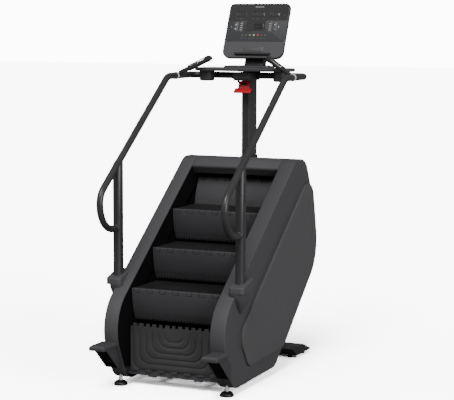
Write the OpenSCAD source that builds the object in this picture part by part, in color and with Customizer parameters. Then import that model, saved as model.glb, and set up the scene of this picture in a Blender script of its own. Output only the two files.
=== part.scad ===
// Stair climber: a revolving-step gym machine with handrails and a console.
// Millimetres, +Z up, X = 0 is the symmetry plane, the climber faces +Y.
// The origin is on the floor, under the middle of the whole length.

/* [Overall] */
// Length from the front of the step-on pads to the back of the stabiliser
machine_l = 1600; // [1560:10:1640]
// Half width over the side covers
cover_x = 385; // [380:1:390]
// Half width of the stair well, to the inner edge of the side covers
well_x = 295; // [293:1:297]
// Wall of the moulded covers
wall = 4; // [3:1:5]

/* [Stairs] */
// Horizontal run of one step
step_run = 274; // [270:1:278]
// Rise of one step
step_rise = 205; // [200:1:208]
// Half width of a step
step_x = 285; // [280:1:287]
// Nose of the highest whole step, along Y
nose_y = 57; // [50:1:64]
// Height of that nose above the floor
nose_z = 987; // [980:1:994]
// Depth of a tread from nose to back edge
tread_d = 306; // [300:1:310]
// Radius of the curved riser
riser_r = 480; // [460:10:520]

/* [Rails] */
// Handrail tube diameter
rail_d = 41; // [38:1:44]
// Half distance between the two handrails
rail_x = 395; // [392:1:398]
// Height of the level part of the handrail
rail_z = 1797; // [1790:1:1804]
// Width of a post, across
post_w = 54; // [50:1:56]
// Depth of a post, front to back
post_d = 68; // [64:1:72]
// Centre of the posts along Y
post_y = -451; // [-456:1:-446]

/* [Console] */
// Width of the mast
mast_w = 52; // [48:1:56]
// Depth of the mast
mast_d = 130; // [124:1:134]
// Width of the console
console_w = 418; // [404:1:424]
// Height of the console along its face
console_h = 374; // [362:1:376]
// Lean of the console away from the climber, in degrees
console_lean = 23; // [21:1:25]

/* [Hidden] */
half_l = machine_l / 2;
incline = atan(step_rise / step_run);
pitch = sqrt(step_run * step_run + step_rise * step_rise);
uy = cos(incline);
uz = sin(incline);
eps = 0.01;

charcoal = [0.24, 0.24, 0.25];
panel_grey = [0.30, 0.30, 0.31];
black = [0.08, 0.08, 0.085];
steel = [0.60, 0.61, 0.62];
frame_grey = [0.35, 0.36, 0.38];

// ---- outline helpers: a corner is [y, z, radius] ----
function unit(v) = v / norm(v);
function cross2(a, b) = a[0] * b[1] - a[1] * b[0];
function xy(c) = [c[0], c[1]];
// Points of one rounded corner between its two neighbours
function corner(a, b, c, n) =
    let (p = unit(xy(a) - xy(b)), q = unit(xy(c) - xy(b)), r = b[2])
    r <= 0 ? [xy(b)] :
    let (half = acos(max(-1, min(1, p * q))) / 2, t = r / tan(half),
         s = xy(b) + unit(p + q) * (r / sin(half)),
         a0 = atan2((xy(b) + p * t - s)[1], (xy(b) + p * t - s)[0]),
         turn = (180 - 2 * half) * (cross2(q, p) > 0 ? 1 : -1))
    [for (i = [0 : n]) s + r * [cos(a0 + turn * i / n), sin(a0 + turn * i / n)]];
function rounded(v, n = 8) =
    [for (i = [0 : len(v) - 1])
        each corner(v[(i + len(v) - 1) % len(v)], v[i], v[(i + 1) % len(v)], n)];
// Corner i of the outline v moved inward by d; v runs clockwise
function inset_corner(a, b, c, d) =
    let (p = unit(xy(b) - xy(a)), q = unit(xy(c) - xy(b)),
         np = [p[1], -p[0]], nq = [q[1], -q[0]], k = cross2(p, q),
         o = abs(k) < 1e-6 ? xy(b) + np * d
             : xy(a) + np * d + p * (cross2(xy(b) + nq * d - xy(a) - np * d, q) / k))
    [o[0], o[1], max(0.5, b[2] - d)];
function inset(v, d) =
    [for (i = [0 : len(v) - 1])
        inset_corner(v[(i + len(v) - 1) % len(v)], v[i], v[(i + 1) % len(v)], d)];

// Sets a shape drawn in (y, z) upright, running from x0 to x1
module slab(x0, x1) {
    translate([x0, 0, 0]) rotate([90, 0, 90]) linear_extrude(x1 - x0) children();
}
// The same shape on the left (-1) or right (+1) side
module on_side(side, x0, x1) {
    if (side > 0) slab(x0, x1) children();
    else slab(-x1, -x0) children();
}
module box(lo, hi) {
    translate(lo) cube(hi - lo);
}
module rod_x(x0, x1, y, z, d) {
    translate([x0, y, z]) rotate([0, 90, 0]) cylinder(h = x1 - x0, d = d, $fn = 48);
}

// ---- the body's side outline, clockwise from the front of the bottom ----
body_outline = [[-534, 36, 120], [-719, 422, 254], [421, 1284, 110], [585, 1284, 130],
    [700, 1060, 300], [792, 640, 290], [97, 50, 80]];
// Height of the inclined front edge above y
function band_z(y) = 422 + (y + 719) * (1284 - 422) / (421 + 719);

// ---- base ----
rail_bottom = 58;
rail_top = 112;
leg_x = 150;
front_y0 = -505;
foot_x = 344;
foot_y = -526;
stem_d = 16;
nut_top = 84;
beam_top = 610;
module base_frame() {
    color(frame_grey) {
        for (s = [-1, 1]) {
            box([s * leg_x - 25, front_y0, rail_bottom], [s * leg_x + 25, 790, rail_top]);
            // Lug that the kick panel is screwed to
            box([s * 200 - 20, kick_y + kick_t, 94], [s * 200 + 20, front_y0 + 1, rail_top]);
        }
        box([-plate_x0, front_y0, 66], [plate_x0, front_y0 + 50, rail_top]);
        // Brackets that the levelling feet screw into
        difference() {
            for (s = [-1, 1])
                box([s * foot_x - 32, front_y0 - 40, nut_top], [s * foot_x + 32, front_y0 + 1, nut_top + 16]);
            for (s = [-1, 1])
                translate([s * foot_x, foot_y, nut_top - 1]) cylinder(h = 20, d = stem_d + 0.1, $fn = 32);
        }
        box([-plate_x0, -20, 70], [plate_x0, 30, rail_top]);
        for (s = [-1, 1]) box([s * leg_x - 25, 600, rail_top - 1], [s * leg_x + 25, 650, beam_top - 49]);
        box([-plate_x0, 600, beam_top - 50], [plate_x0, 650, beam_top]);
    }
}
// Side plates carry both shafts and hold the upper cross members
plate_x0 = 354;
plate_x1 = 362;
module side_plate(side) {
    color(frame_grey) difference() {
        on_side(side, plate_x0, plate_x1)
            polygon(rounded([[-500, 66, 5], [-500, 106, 5], [-600, 330, 60], [-540, 520, 60], [330, 1150, 60],
                [640, 1150, 40], [690, 1000, 60], [700, 610, 40], [600, 520, 40],
                [60, 66, 20]]));
        for (c = [lower_c, upper_c])
            rod_x(-400, 400, c[0], c[1], 62.2);
    }
    // Spigot that holds the handrail post
    color(frame_grey) {
        on_side(side, plate_x1 - eps, rail_x + 16) translate([post_y - 22, 542]) square([44, 16]);
        on_side(side, rail_x - 20, rail_x + 20) translate([post_y - 22, 542]) square([44, 160]);
    }
}
stab_y0 = 567;
stab_top = 58;
module rear_stabiliser() {
    color(black) difference() {
        slab(-345, 345) polygon([[stab_y0, 22], [half_l, 22], [half_l, 30], [half_l - 34, stab_top],
            [stab_y0 + 6, stab_top], [stab_y0, 50]]);
        for (s = [-1, 1]) translate([s * 345, 0, 22]) rotate([0, -s * 30, 0])
            translate([s * 30, 0, 0]) cube([60, 4 * half_l, 200], center = true);
    }
}
module stabiliser_feet() {
    color(black) for (sx = [-1, 1]) for (y = [stab_y0 + 45, half_l - 50])
        translate([sx * 290, y, 0]) cylinder(h = 22, d1 = 62, d2 = 52, $fn = 48);
}
module levelling_foot(side) {
    translate([side * foot_x, foot_y, 0]) {
        color(black) cylinder(h = 8, d = 84, $fn = 64);
        color(black) translate([0, 0, 8]) cylinder(h = 18, d1 = 82, d2 = 26, $fn = 64);
        color(steel) translate([0, 0, 26]) cylinder(h = 70, d = stem_d, $fn = 32);
    }
}
module levelling_nuts() {
    color(steel) for (s = [-1, 1]) translate([s * foot_x, foot_y, nut_top - 12]) difference() {
        cylinder(h = 12, d = 30, $fn = 6);
        translate([0, 0, -1]) cylinder(h = 14, d = stem_d + 0.6, $fn = 32);
    }
}

// ---- chain drive, in the side bays outside the steps ----
chain_x0 = 318;
chain_x1 = 332;
sprocket_r = 94;
chain_in = 95;
chain_out = 105;
attach = [150, -40];
step3_a = [nose_y - 2 * step_run + attach[0], nose_z - 2 * step_rise + attach[1]];
chain_l = 990;
lower_c = [step3_a[0] - 70 * uy + 100 * uz, step3_a[1] - 70 * uz - 100 * uy];
upper_c = [lower_c[0] + chain_l * uy, lower_c[1] + chain_l * uz];
module shaft(c) {
    color(steel) rod_x(-366, 366, c[0], c[1], 30);
}
module sprocket_pair(c) {
    teeth = 24;
    color(steel) for (s = [-1, 1]) difference() {
        union() {
            rod_x(s > 0 ? 321 : -329, s > 0 ? 329 : -321, c[0], c[1], 2 * sprocket_r - 10);
            on_side(s, 321, 329) translate(c)
                polygon([for (i = [0 : 2 * teeth - 1]) let (a = i * 180 / teeth,
                    r = i % 2 == 0 ? sprocket_r : sprocket_r - 8) r * [cos(a), sin(a)]]);
            rod_x(s > 0 ? 329 : -337, s > 0 ? 337 : -329, c[0], c[1], 56);
        }
        rod_x(-400, 400, c[0], c[1], 30);
        for (i = [0 : 4])
            rod_x(-400, 400, c[0] + 58 * cos(72 * i), c[1] + 58 * sin(72 * i), 30);
    }
}
module shaft_bearings() {
    color(steel) for (c = [lower_c, upper_c]) for (s = [-1, 1]) difference() {
        union() {
            rod_x(s > 0 ? plate_x0 : -plate_x1, s > 0 ? plate_x1 : -plate_x0, c[0], c[1], 62);
            rod_x(s > 0 ? plate_x1 : -368, s > 0 ? 368 : -plate_x1, c[0], c[1], 88);
        }
        rod_x(-400, 400, c[0], c[1], 30.1);
    }
}
module loop_outline(r) {
    a = incline + 90;
    polygon([for (i = [0 : 24]) lower_c + r * [cos(a + i * 7.5), sin(a + i * 7.5)],
        for (i = [0 : 24]) upper_c + r * [cos(a + 180 + i * 7.5), sin(a + 180 + i * 7.5)]]);
}
module chain(side) {
    color([0.45, 0.45, 0.46]) on_side(side, chain_x0, chain_x1) difference() {
        loop_outline(chain_out);
        loop_outline(chain_in);
    }
}
// Straight guides under the loaded and the returning run of each chain
module chain_guides() {
    color(black) for (s = [-1, 1]) on_side(s, chain_x0, plate_x0) translate(lower_c)
        rotate(incline) for (d = [chain_in - 9, -chain_in + 1])
            translate([110, d]) square([chain_l - 220, 8]);
}
module drive_pulley() {
    color([0.2, 0.2, 0.22]) difference() {
        union() {
            rod_x(338, 352, upper_c[0], upper_c[1], 70);
            rod_x(343, 352, upper_c[0], upper_c[1], 230);
        }
        rod_x(300, 400, upper_c[0], upper_c[1], 30);
    }
}

alt_c = [640, 770];
module alternator() {
    color([0.3, 0.3, 0.32]) {
        rod_x(180, 330, alt_c[0], alt_c[1], 140);
        box([190, 602, beam_top], [320, 648, 720]);
    }
}
module alternator_pulley() {
    color(steel) {
        rod_x(330.5, 352, alt_c[0], alt_c[1], 18);
        rod_x(343, 352, alt_c[0], alt_c[1], 60);
    }
}
// Belt: two rounds joined by their outer tangents
module drive_belt() {
    v = alt_c - upper_c;
    d = norm(v);
    a = atan2(v[1], v[0]);
    lean = acos((115 - 30) / d);
    color(black) on_side(1, 344, 351) difference() {
        belt_outline(a, lean, d, 3);
        belt_outline(a, lean, d, 0.4);
    }
}
module belt_outline(a, lean, d, grow) {
    translate(upper_c) rotate(a) polygon([
        for (i = [0 : 24]) let (t = lean + (360 - 2 * lean) * i / 24)
            (115 + grow) * [cos(t), sin(t)],
        for (i = [0 : 12]) let (t = -lean + 2 * lean * i / 12)
            [d, 0] + (30 + grow) * [cos(t), sin(t)]]);
}

// ---- steps ----
riser_h = 190;
tread_t = 20;
module step_side() {
    a = asin(riser_h / riser_r);
    b = asin(tread_t / (riser_r - 5));
    polygon([for (i = [0 : 8]) [riser_r, 0] + riser_r * [-cos(a * i / 8), -sin(a * i / 8)],
        for (i = [0 : 8]) let (t = a + (b - a) * i / 8)
            [riser_r, 0] + (riser_r - 5) * [-cos(t), -sin(t)],
        [tread_d, -tread_t], [tread_d, 0]]);
}
// A step at [y, z] of its nose, turned about X
module step(at, turn) {
    color(charcoal) translate([0, at[0], at[1]]) rotate([turn, 0, 0]) {
        difference() {
            slab(-step_x, step_x) step_side();
            for (i = [-3 : 2]) box([(i + 0.5) * 92 - 19, -5, -14], [(i + 0.5) * 92 + 19, 3, 1]);
        }
        for (s = [-1, 1]) on_side(s, 200, 208) polygon([[110, -tread_t + 1], [190, -tread_t + 1],
            [attach[0] + 12, attach[1] - 10], [attach[0] - 12, attach[1] - 10]]);
        rod_x(-314, 314, attach[0], attach[1], 14);
    }
}
// Nose of a step that hangs from the chain at point a, turned by t degrees
function nose_at(a, t) = a - [attach[0] * cos(t) - attach[1] * sin(t),
    attach[0] * sin(t) + attach[1] * cos(t)];
turn5 = (pitch - 70) / 100 * 180 / PI;
step5_a = lower_c + 100 * [cos(incline + 90 + turn5), sin(incline + 90 + turn5)];
function return_a(k) = lower_c + 100 * [uz, -uy]
    + (k * pitch - 70 - 100 * PI) * [uy, uz];
module step_1() { step([437, 1155], -33.6); }
module step_2() { step([nose_y, nose_z], 0); }
module step_3() { step([nose_y - step_run, nose_z - step_rise], 0); }
module step_4() { step([nose_y - 2 * step_run, nose_z - 2 * step_rise], 0); }
module step_5() { step(nose_at(step5_a, turn5), turn5); }
module step_6() { step(nose_at(return_a(2), 180), 180); }
module step_7() { step(nose_at(return_a(3), 180), 180); }

// ---- covers ----
kick_y = -517;
kick_t = 8;
kick_x = 282;
module kick_panel() {
    color(charcoal) difference() {
        box([-kick_x, kick_y, 92], [kick_x, kick_y + kick_t, 377]);
        for (i = [-9 : 9]) box([i * 30 - 5, kick_y - 1, 362], [i * 30 + 5, kick_y + 9, 378]);
        for (i = [-4 : 3]) box([i * 66 + 16, kick_y - 1, 91], [i * 66 + 50, kick_y + 9, 104]);
    }
}
module side_cover(side) {
    color(charcoal) {
        difference() {
            union() {
                on_side(side, well_x, cover_x + 2) difference() {
                    polygon(rounded(body_outline));
                    polygon(rounded(inset(body_outline, wall)));
                }
                on_side(side, cover_x - 2, cover_x + 2) polygon(rounded(body_outline));
                // Fairing that carries the collar
                hull() {
                    on_side(side, cover_x, 440) translate([post_y - 77, 588]) square([150, 6]);
                    on_side(side, cover_x, cover_x + 3) translate([post_y + 13, 470]) square([20, 6]);
                }
            }
            // Window for the post's spigot, and the post itself
            on_side(side, 350, rail_x + 32) translate([post_y - 37, 538]) square([74, 170]);
            translate([side * foot_x, foot_y, 0]) cylinder(h = 100, d = 36, $fn = 32);
        }
    }
}
panel_outline = [[-326, 136, 60], [-463, 341, 130], [670, 1203, 105], [790, 642, 285],
    [205, 152, 30]];
module side_panel(side) {
    color(panel_grey) on_side(side, cover_x + 2.5, cover_x + 14) polygon(rounded(panel_outline));
}
// Dark inner wall of the stair well, slotted for the step axles
module well_liner(side) {
    color(black) on_side(side, 291, 294) difference() {
        intersection() {
            polygon(rounded(inset(body_outline, wall + 1)));
            union() {
                translate([-719, 422]) rotate(incline) translate([0, -195]) square([1460, 194]);
                translate([-700, 120]) square([260, 420]);
            }
        }
        translate(step3_a) rotate(incline) translate([-80, -12]) square([1040, 24]);
        translate([330, 1250]) square([600, 400]);
    }
}
module cover_ring(y0, y1, z0, z1) {
    slab(-well_x + 1, well_x - 1) intersection() {
        difference() {
            polygon(rounded(body_outline));
            polygon(rounded(inset(body_outline, wall)));
        }
        translate([y0, z0]) square([y1 - y0, z1 - z0]);
    }
}
module top_cap() {
    color(charcoal) difference() {
        union() {
            cover_ring(356, 800, 1100, 1300);
            slab(-well_x + 5, well_x - 5)
                polygon([[356, 1204], [361, 1204], [385, 1240], [380, 1244]]);
        }
        box([-mast_w / 2 - 0.4, mast_y0 - 0.4, 1000], [mast_w / 2 + 0.4, mast_y0 + mast_d + 0.4, 1400]);
    }
}
module rear_cover() {
    color(charcoal) difference() {
        cover_ring(500, 800, 620, 1099.5);
        box([-inlet_x - 24, 700, 700], [-inlet_x + 24, 800, 730]);
    }
}
module underside_cover() {
    color(charcoal) difference() {
        cover_ring(175, 800, 100, 619.5);
        for (s = [-1, 1]) box([s * leg_x - 27, 598, 100], [s * leg_x + 27, 652, 600]);
    }
}
module step_pad(side) {
    color(charcoal) difference() {
        union() {
            on_side(side, 305, 408) polygon([[-half_l, 250], [-half_l, 275], [-half_l + 8, 281],
                [-640, 281], [-640, 250]]);
            on_side(side, 315, 395) polygon([[-780, 250], [-768, 250], [-575, 112], [-575, 100],
                [-590, 100]]);
            for (x = [315, 390]) on_side(side, x, x + 5)
                polygon([[-780, 251], [-640, 251], [-575, 200], [-575, 100], [-590, 100]]);
        }
        slab(-500, 500) polygon(rounded(body_outline));
    }
}

// ---- handrails ----
module obround(w, d) {
    square([w, d - w], center = true);
    for (s = [-1, 1]) translate([0, s * (d - w) / 2]) circle(d = w, $fn = 48);
}
// A tube that follows corners [y, z, radius] in a plane at x
module pipe_yz(x, v, d) {
    n = len(v);
    // Distance from corner i to where its bend starts
    cut = [for (i = [0 : n - 1]) (i == 0 || i == n - 1) ? 0 :
        v[i][2] / tan(acos(unit(xy(v[i - 1]) - xy(v[i])) * unit(xy(v[i + 1]) - xy(v[i]))) / 2)];
    translate([x, 0, 0]) rotate([90, 0, 90]) {
        for (i = [0 : n - 2]) {
            u = unit(xy(v[i + 1]) - xy(v[i]));
            p = xy(v[i]) + u * cut[i];
            translate([p[0], p[1], 0]) rotate(atan2(u[1], u[0])) rotate([0, 90, 0])
                cylinder(h = norm(xy(v[i + 1]) - xy(v[i])) - cut[i] - cut[i + 1], d = d, $fn = 32);
        }
        for (i = [1 : n - 2]) {
            p = unit(xy(v[i - 1]) - xy(v[i]));
            q = unit(xy(v[i + 1]) - xy(v[i]));
            half = acos(p * q) / 2;
            s = xy(v[i]) + unit(p + q) * v[i][2] / sin(half);
            e = xy(v[i]) + (cross2(q, p) > 0 ? q : p) * cut[i] - s;
            b = xy(v[i]) + (cross2(q, p) > 0 ? p : q) * cut[i] - s;
            translate([s[0], s[1], 0]) rotate(atan2(b[1], b[0]))
                rotate_extrude(angle = 180 - 2 * half, $fn = 96)
                    translate([v[i][2], 0]) circle(d = d, $fn = 32);
        }
    }
}
slope = 36.5;
function rail_line(y) = rail_z + (y - 212) * tan(slope);
ring_y = 327;
bow = [[post_y - post_d / 2 - 2, 925], [-675, 925, 162], [-675, rail_line(-675), 110],
    [212, rail_z, 90], [ring_y, rail_z]];
module handrail(side) {
    color(charcoal) difference() {
        union() {
            pipe_yz(side * rail_x, [for (c = bow) [c[0], c[1], len(c) > 2 ? c[2] : 0]], rail_d);
            translate([side * rail_x, post_y - post_d / 2 - 4, 925]) rotate([-90, 0, 0])
                cylinder(h = 12, d = rail_d + 5, $fn = 48);
        }
        post_shape(side, 900, 950, 0.12);
    }
}
module post_shape(side, z0, z1, slack = 0) {
    translate([side * rail_x, post_y, z0]) linear_extrude(z1 - z0)
        obround(post_w + slack, post_d + slack);
}
module post(side) {
    color(charcoal) difference() {
        post_shape(side, 558, 1330);
        translate([side * rail_x, post_y, 557]) linear_extrude(700) obround(post_w - 6, post_d - 6);
        translate([side * rail_x, post_y, rail_line(post_y)]) rotate([slope - 90, 0, 0])
            cylinder(h = 400, d = rail_d + 0.1, center = true, $fn = 48);
        translate([side * rail_x, post_y, rail_line(post_y) + 3]) rotate([slope, 0, 0])
            translate([-50, -100, 0]) cube([100, 200, 100]);
    }
}
module collar(side) {
    color(charcoal) difference() {
        translate([side * 396, post_y - 1, 595]) linear_extrude(60)
            polygon(rounded([[-48, -78, 22], [-48, 78, 22], [48, 78, 22], [48, -78, 22]]));
        post_shape(side, 500, 700);
        translate([0, post_y - 85, 622]) rotate([16, 0, 0]) translate([-500, -50, 0]) cube([1000, 400, 100]);
        rod_x(side > 0 ? 340 : -350, side > 0 ? 350 : -340, post_y + 45, 625, 8);
        slab(-500, 500) polygon(rounded(body_outline));
    }
}
module rail_rings() {
    color([0.85, 0.85, 0.86]) for (s = [-1, 1]) translate([s * rail_x, ring_y - 7, rail_z])
        rotate([-90, 0, 0]) difference() {
            cylinder(h = 14, d = rail_d + 6, $fn = 64);
            translate([0, 0, -1]) cylinder(h = 16, d = rail_d, $fn = 64);
        }
}
cross_y = 560;
module crossbar() {
    r = 60;
    color(charcoal) translate([0, 0, rail_z]) {
        for (s = [-1, 1]) {
            translate([s * rail_x, ring_y + 0.2, 0]) rotate([-90, 0, 0])
                cylinder(h = cross_y - r - ring_y - 0.2, d = rail_d, $fn = 32);
            translate([s * (rail_x - r), cross_y - r, 0]) rotate(s > 0 ? 0 : 90)
                rotate_extrude(angle = 90, $fn = 96) translate([r, 0]) circle(d = rail_d, $fn = 32);
        }
        rod_x(-rail_x + r, rail_x - r, cross_y, 0, rail_d);
    }
}
module rod_between(p, q, d) {
    v = q - p;
    translate(p) rotate([0, acos(v[2] / norm(v)), atan2(v[1], v[0])])
        cylinder(h = norm(v), d = d, $fn = 48);
}
grip_root = [374, 334, 1813];
grip_tip = [196, 414, 1910];
function grip_at(t) = grip_root + (grip_tip - grip_root) * t;
function flip(side, p) = [side * p[0], p[1], p[2]];
module grip(side) {
    color(black) difference() {
        union() {
            rod_between(flip(side, grip_root), flip(side, grip_at(0.3)), 29);
            rod_between(flip(side, grip_at(0.25)), flip(side, grip_tip), 38);
        }
        translate([side * rail_x, 0, rail_z]) rotate([-90, 0, 0]) {
            cylinder(h = 700, d = rail_d + 0.1, $fn = 64);
            translate([0, 0, ring_y - 7.1]) cylinder(h = 14.2, d = rail_d + 6.1, $fn = 64);
        }
    }
}
module sensor_plates() {
    color([0.8, 0.8, 0.82]) for (s = [-1, 1]) difference() {
        rod_between(flip(s, grip_at(0.36)), flip(s, grip_at(0.8)), 40.5);
        rod_between(flip(s, grip_at(0.3)), flip(s, grip_at(0.9)), 38);
        translate(flip(s, grip_at(0.58))) rotate([0, s * 34, 0])
            box([-100, -100, -100], [100, 100, 2]);
    }
}

// ---- mast, tray and console ----
mast_y0 = 515;
mast_z0 = 1138;
box_z0 = 1766;
module mast() {
    color(charcoal) difference() {
        box([-mast_w / 2, mast_y0, mast_z0], [mast_w / 2, mast_y0 + mast_d, box_z0]);
        box([-mast_w / 2 + 3, mast_y0 + 3, mast_z0 - 1],
            [mast_w / 2 - 3, mast_y0 + mast_d - 3, box_z0 + 1]);
    }
}
module mast_bracket() {
    color(frame_grey) {
        box([-plate_x0, 562, 1100], [plate_x0, 632, mast_z0]);
        box([-mast_w / 2 + 3.2, 562, mast_z0 - 1],
            [mast_w / 2 - 3.2, 632, mast_z0 + 60]);
    }
}
tray_z0 = rail_z + rail_d / 2 + 0.5;
tray_z1 = 1846;
tray_top = 1858;
tray_y = 506;
cup = [253, 487, 45];
module tray() {
    color(charcoal) difference() {
        union() {
            translate([0, tray_y, tray_z0]) linear_extrude(tray_z1 - tray_z0)
                polygon(rounded([[-326, -100, 70], [-326, 110, 90], [326, 110, 90], [326, -100, 70]]));
            // Raised base under the console, with a tongue that carries the neck
            box([-151, 512, tray_z1 - 1], [151, 640, tray_top]);
            box([-90, 600, tray_z0], [90, 712, tray_top]);
            for (s = [-1, 1]) translate([s * cup[0], cup[1], 1762])
                cylinder(h = 70, d = 2 * cup[2] + 5, $fn = 64);
        }
        for (s = [-1, 1]) translate([s * cup[0], cup[1], 1765])
            cylinder(h = 120, d = 2 * cup[2], $fn = 64);
        translate([0, cross_y, rail_z]) rotate([0, 90, 0])
            cylinder(h = 1000, d = rail_d + 0.2, center = true, $fn = 32);
    }
}
lever_c = [505, 1757];
module tray_bracket() {
    color(charcoal) difference() {
        union() {
            box([-60, 442, box_z0], [60, 632, tray_z0]);
            for (s = [-1, 1]) on_side(s, 40, 46)
                polygon([[494, box_z0 + 1], [514, box_z0 + 1], [514, 1750], [494, 1750]]);
        }
        rod_x(-100, 100, cross_y, rail_z, rail_d + 0.1);
        rod_x(-100, 100, lever_c[0], lever_c[1], 6.1);
    }
}
module stop_lever() {
    color([0.75, 0.1, 0.12]) {
        rod_x(-46, 46, lever_c[0], lever_c[1], 6);
        rod_x(-39, 39, lever_c[0], lever_c[1], 11);
        difference() {
            slab(-37, 37) polygon([[500, 1758], [505, 1754], [488, 1714], [482, 1717]]);
            slab(-20, 20) polygon([[490, 1750], [510, 1750], [500, 1735], [480, 1735]]);
        }
        slab(-58, 58) polygon([[482, 1718], [488, 1713], [452, 1686], [448, 1691], [450, 1700]]);
    }
}
module console_neck() {
    color(black) slab(-64, 64) polygon([[638, tray_top], [700, tray_top], [786, 2050],
        console_back(190), console_back(-1)]);
}
console_at = [607, 1907];
// Point on the back of the console, t above its lower edge, in (y, z)
function console_back(t) = console_at + 50 * [cos(console_lean), -sin(console_lean)]
    + t * [sin(console_lean), cos(console_lean)];
module console_frame() {
    translate([0, console_at[0], console_at[1]]) rotate([90 - console_lean, 0, 0]) children();
}
module console_plate(w, h, r) {
    polygon(rounded([[-w / 2, 0, r + 12], [-w / 2, h, r], [w / 2, h, r], [w / 2, 0, r + 12]]));
}
module console_housing() {
    color(charcoal) console_frame() {
        translate([0, 0, -50]) linear_extrude(48) console_plate(console_w, console_h, 34);
        // Ledge that holds a phone
        translate([-124, 34, -3]) cube([248, 8, 22]);
    }
}
module console_face() {
    color(black) console_frame() translate([0, 48, -1.8]) linear_extrude(3)
        console_plate(console_w - 16, console_h - 56, 26);
}
module control_box() {
    color(black) box([-120, 482, 520], [120, 599.8, 622]);
}
inlet_x = 170;
module power_inlet() {
    color(black) {
        box([-inlet_x - 23.5, 745, 700.5], [-inlet_x + 23.5, 790, 729.5]);
    }
}

base_frame();
side_plate(-1);  // side_plate_left
side_plate(1);  // side_plate_right
rear_stabiliser();
stabiliser_feet();
levelling_foot(-1);  // levelling_foot_left
levelling_foot(1);  // levelling_foot_right
levelling_nuts();
shaft(upper_c);  // upper_shaft
shaft(lower_c);  // lower_shaft
sprocket_pair(upper_c);  // upper_sprockets
sprocket_pair(lower_c);  // lower_sprockets
shaft_bearings();
drive_pulley();
alternator();
alternator_pulley();
drive_belt();
chain(-1);  // chain_left
chain(1);  // chain_right
chain_guides();
step_1();
step_2();
step_3();
step_4();
step_5();
step_6();
step_7();
kick_panel();
side_cover(-1);  // side_cover_left
side_cover(1);  // side_cover_right
side_panel(-1);  // side_panel_left
side_panel(1);  // side_panel_right
well_liner(-1);  // well_liner_left
well_liner(1);  // well_liner_right
top_cap();
rear_cover();
underside_cover();
step_pad(-1);  // step_pad_left
step_pad(1);  // step_pad_right
post(-1);  // post_left
post(1);  // post_right
collar(-1);  // collar_left
collar(1);  // collar_right
handrail(-1);  // handrail_left
handrail(1);  // handrail_right
rail_rings();
crossbar();
grip(-1);  // grip_left
grip(1);  // grip_right
sensor_plates();
mast();
mast_bracket();
tray();
tray_bracket();
stop_lever();
console_neck();
console_housing();
console_face();
control_box();
power_inlet();
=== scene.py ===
"""Looks of a revolving-step stair climber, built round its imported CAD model."""

import logging
import math
from dataclasses import dataclass, field
from enum import Enum

import bmesh
import bpy
import numpy as np
from mathutils import Matrix


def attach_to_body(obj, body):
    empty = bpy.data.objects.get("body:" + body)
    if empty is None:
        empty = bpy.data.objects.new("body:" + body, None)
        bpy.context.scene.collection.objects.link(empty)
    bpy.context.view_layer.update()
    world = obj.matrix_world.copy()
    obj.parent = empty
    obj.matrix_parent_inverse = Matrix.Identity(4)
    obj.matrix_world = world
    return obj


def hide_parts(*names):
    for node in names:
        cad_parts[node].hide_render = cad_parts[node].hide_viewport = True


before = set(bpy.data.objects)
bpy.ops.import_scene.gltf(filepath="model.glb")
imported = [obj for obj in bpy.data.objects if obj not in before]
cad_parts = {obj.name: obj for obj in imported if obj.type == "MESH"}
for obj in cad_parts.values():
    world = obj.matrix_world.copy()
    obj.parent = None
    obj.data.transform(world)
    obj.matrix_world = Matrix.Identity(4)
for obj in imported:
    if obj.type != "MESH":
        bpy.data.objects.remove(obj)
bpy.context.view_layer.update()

log = logging.getLogger("stair_climber")

MERGE = 2e-6  # points nearer than this are one point, in metres

Array = np.ndarray
Corner = tuple[float, float, float]


class Side(Enum):
    """Which side of the machine a piece is on, as the sign of its X."""

    LEFT = -1
    RIGHT = 1

    @property
    def word(self) -> str:
        """The side's word in a piece's name."""
        return self.name.lower()


# ---------------------------------------------------------------- finishes


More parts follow.
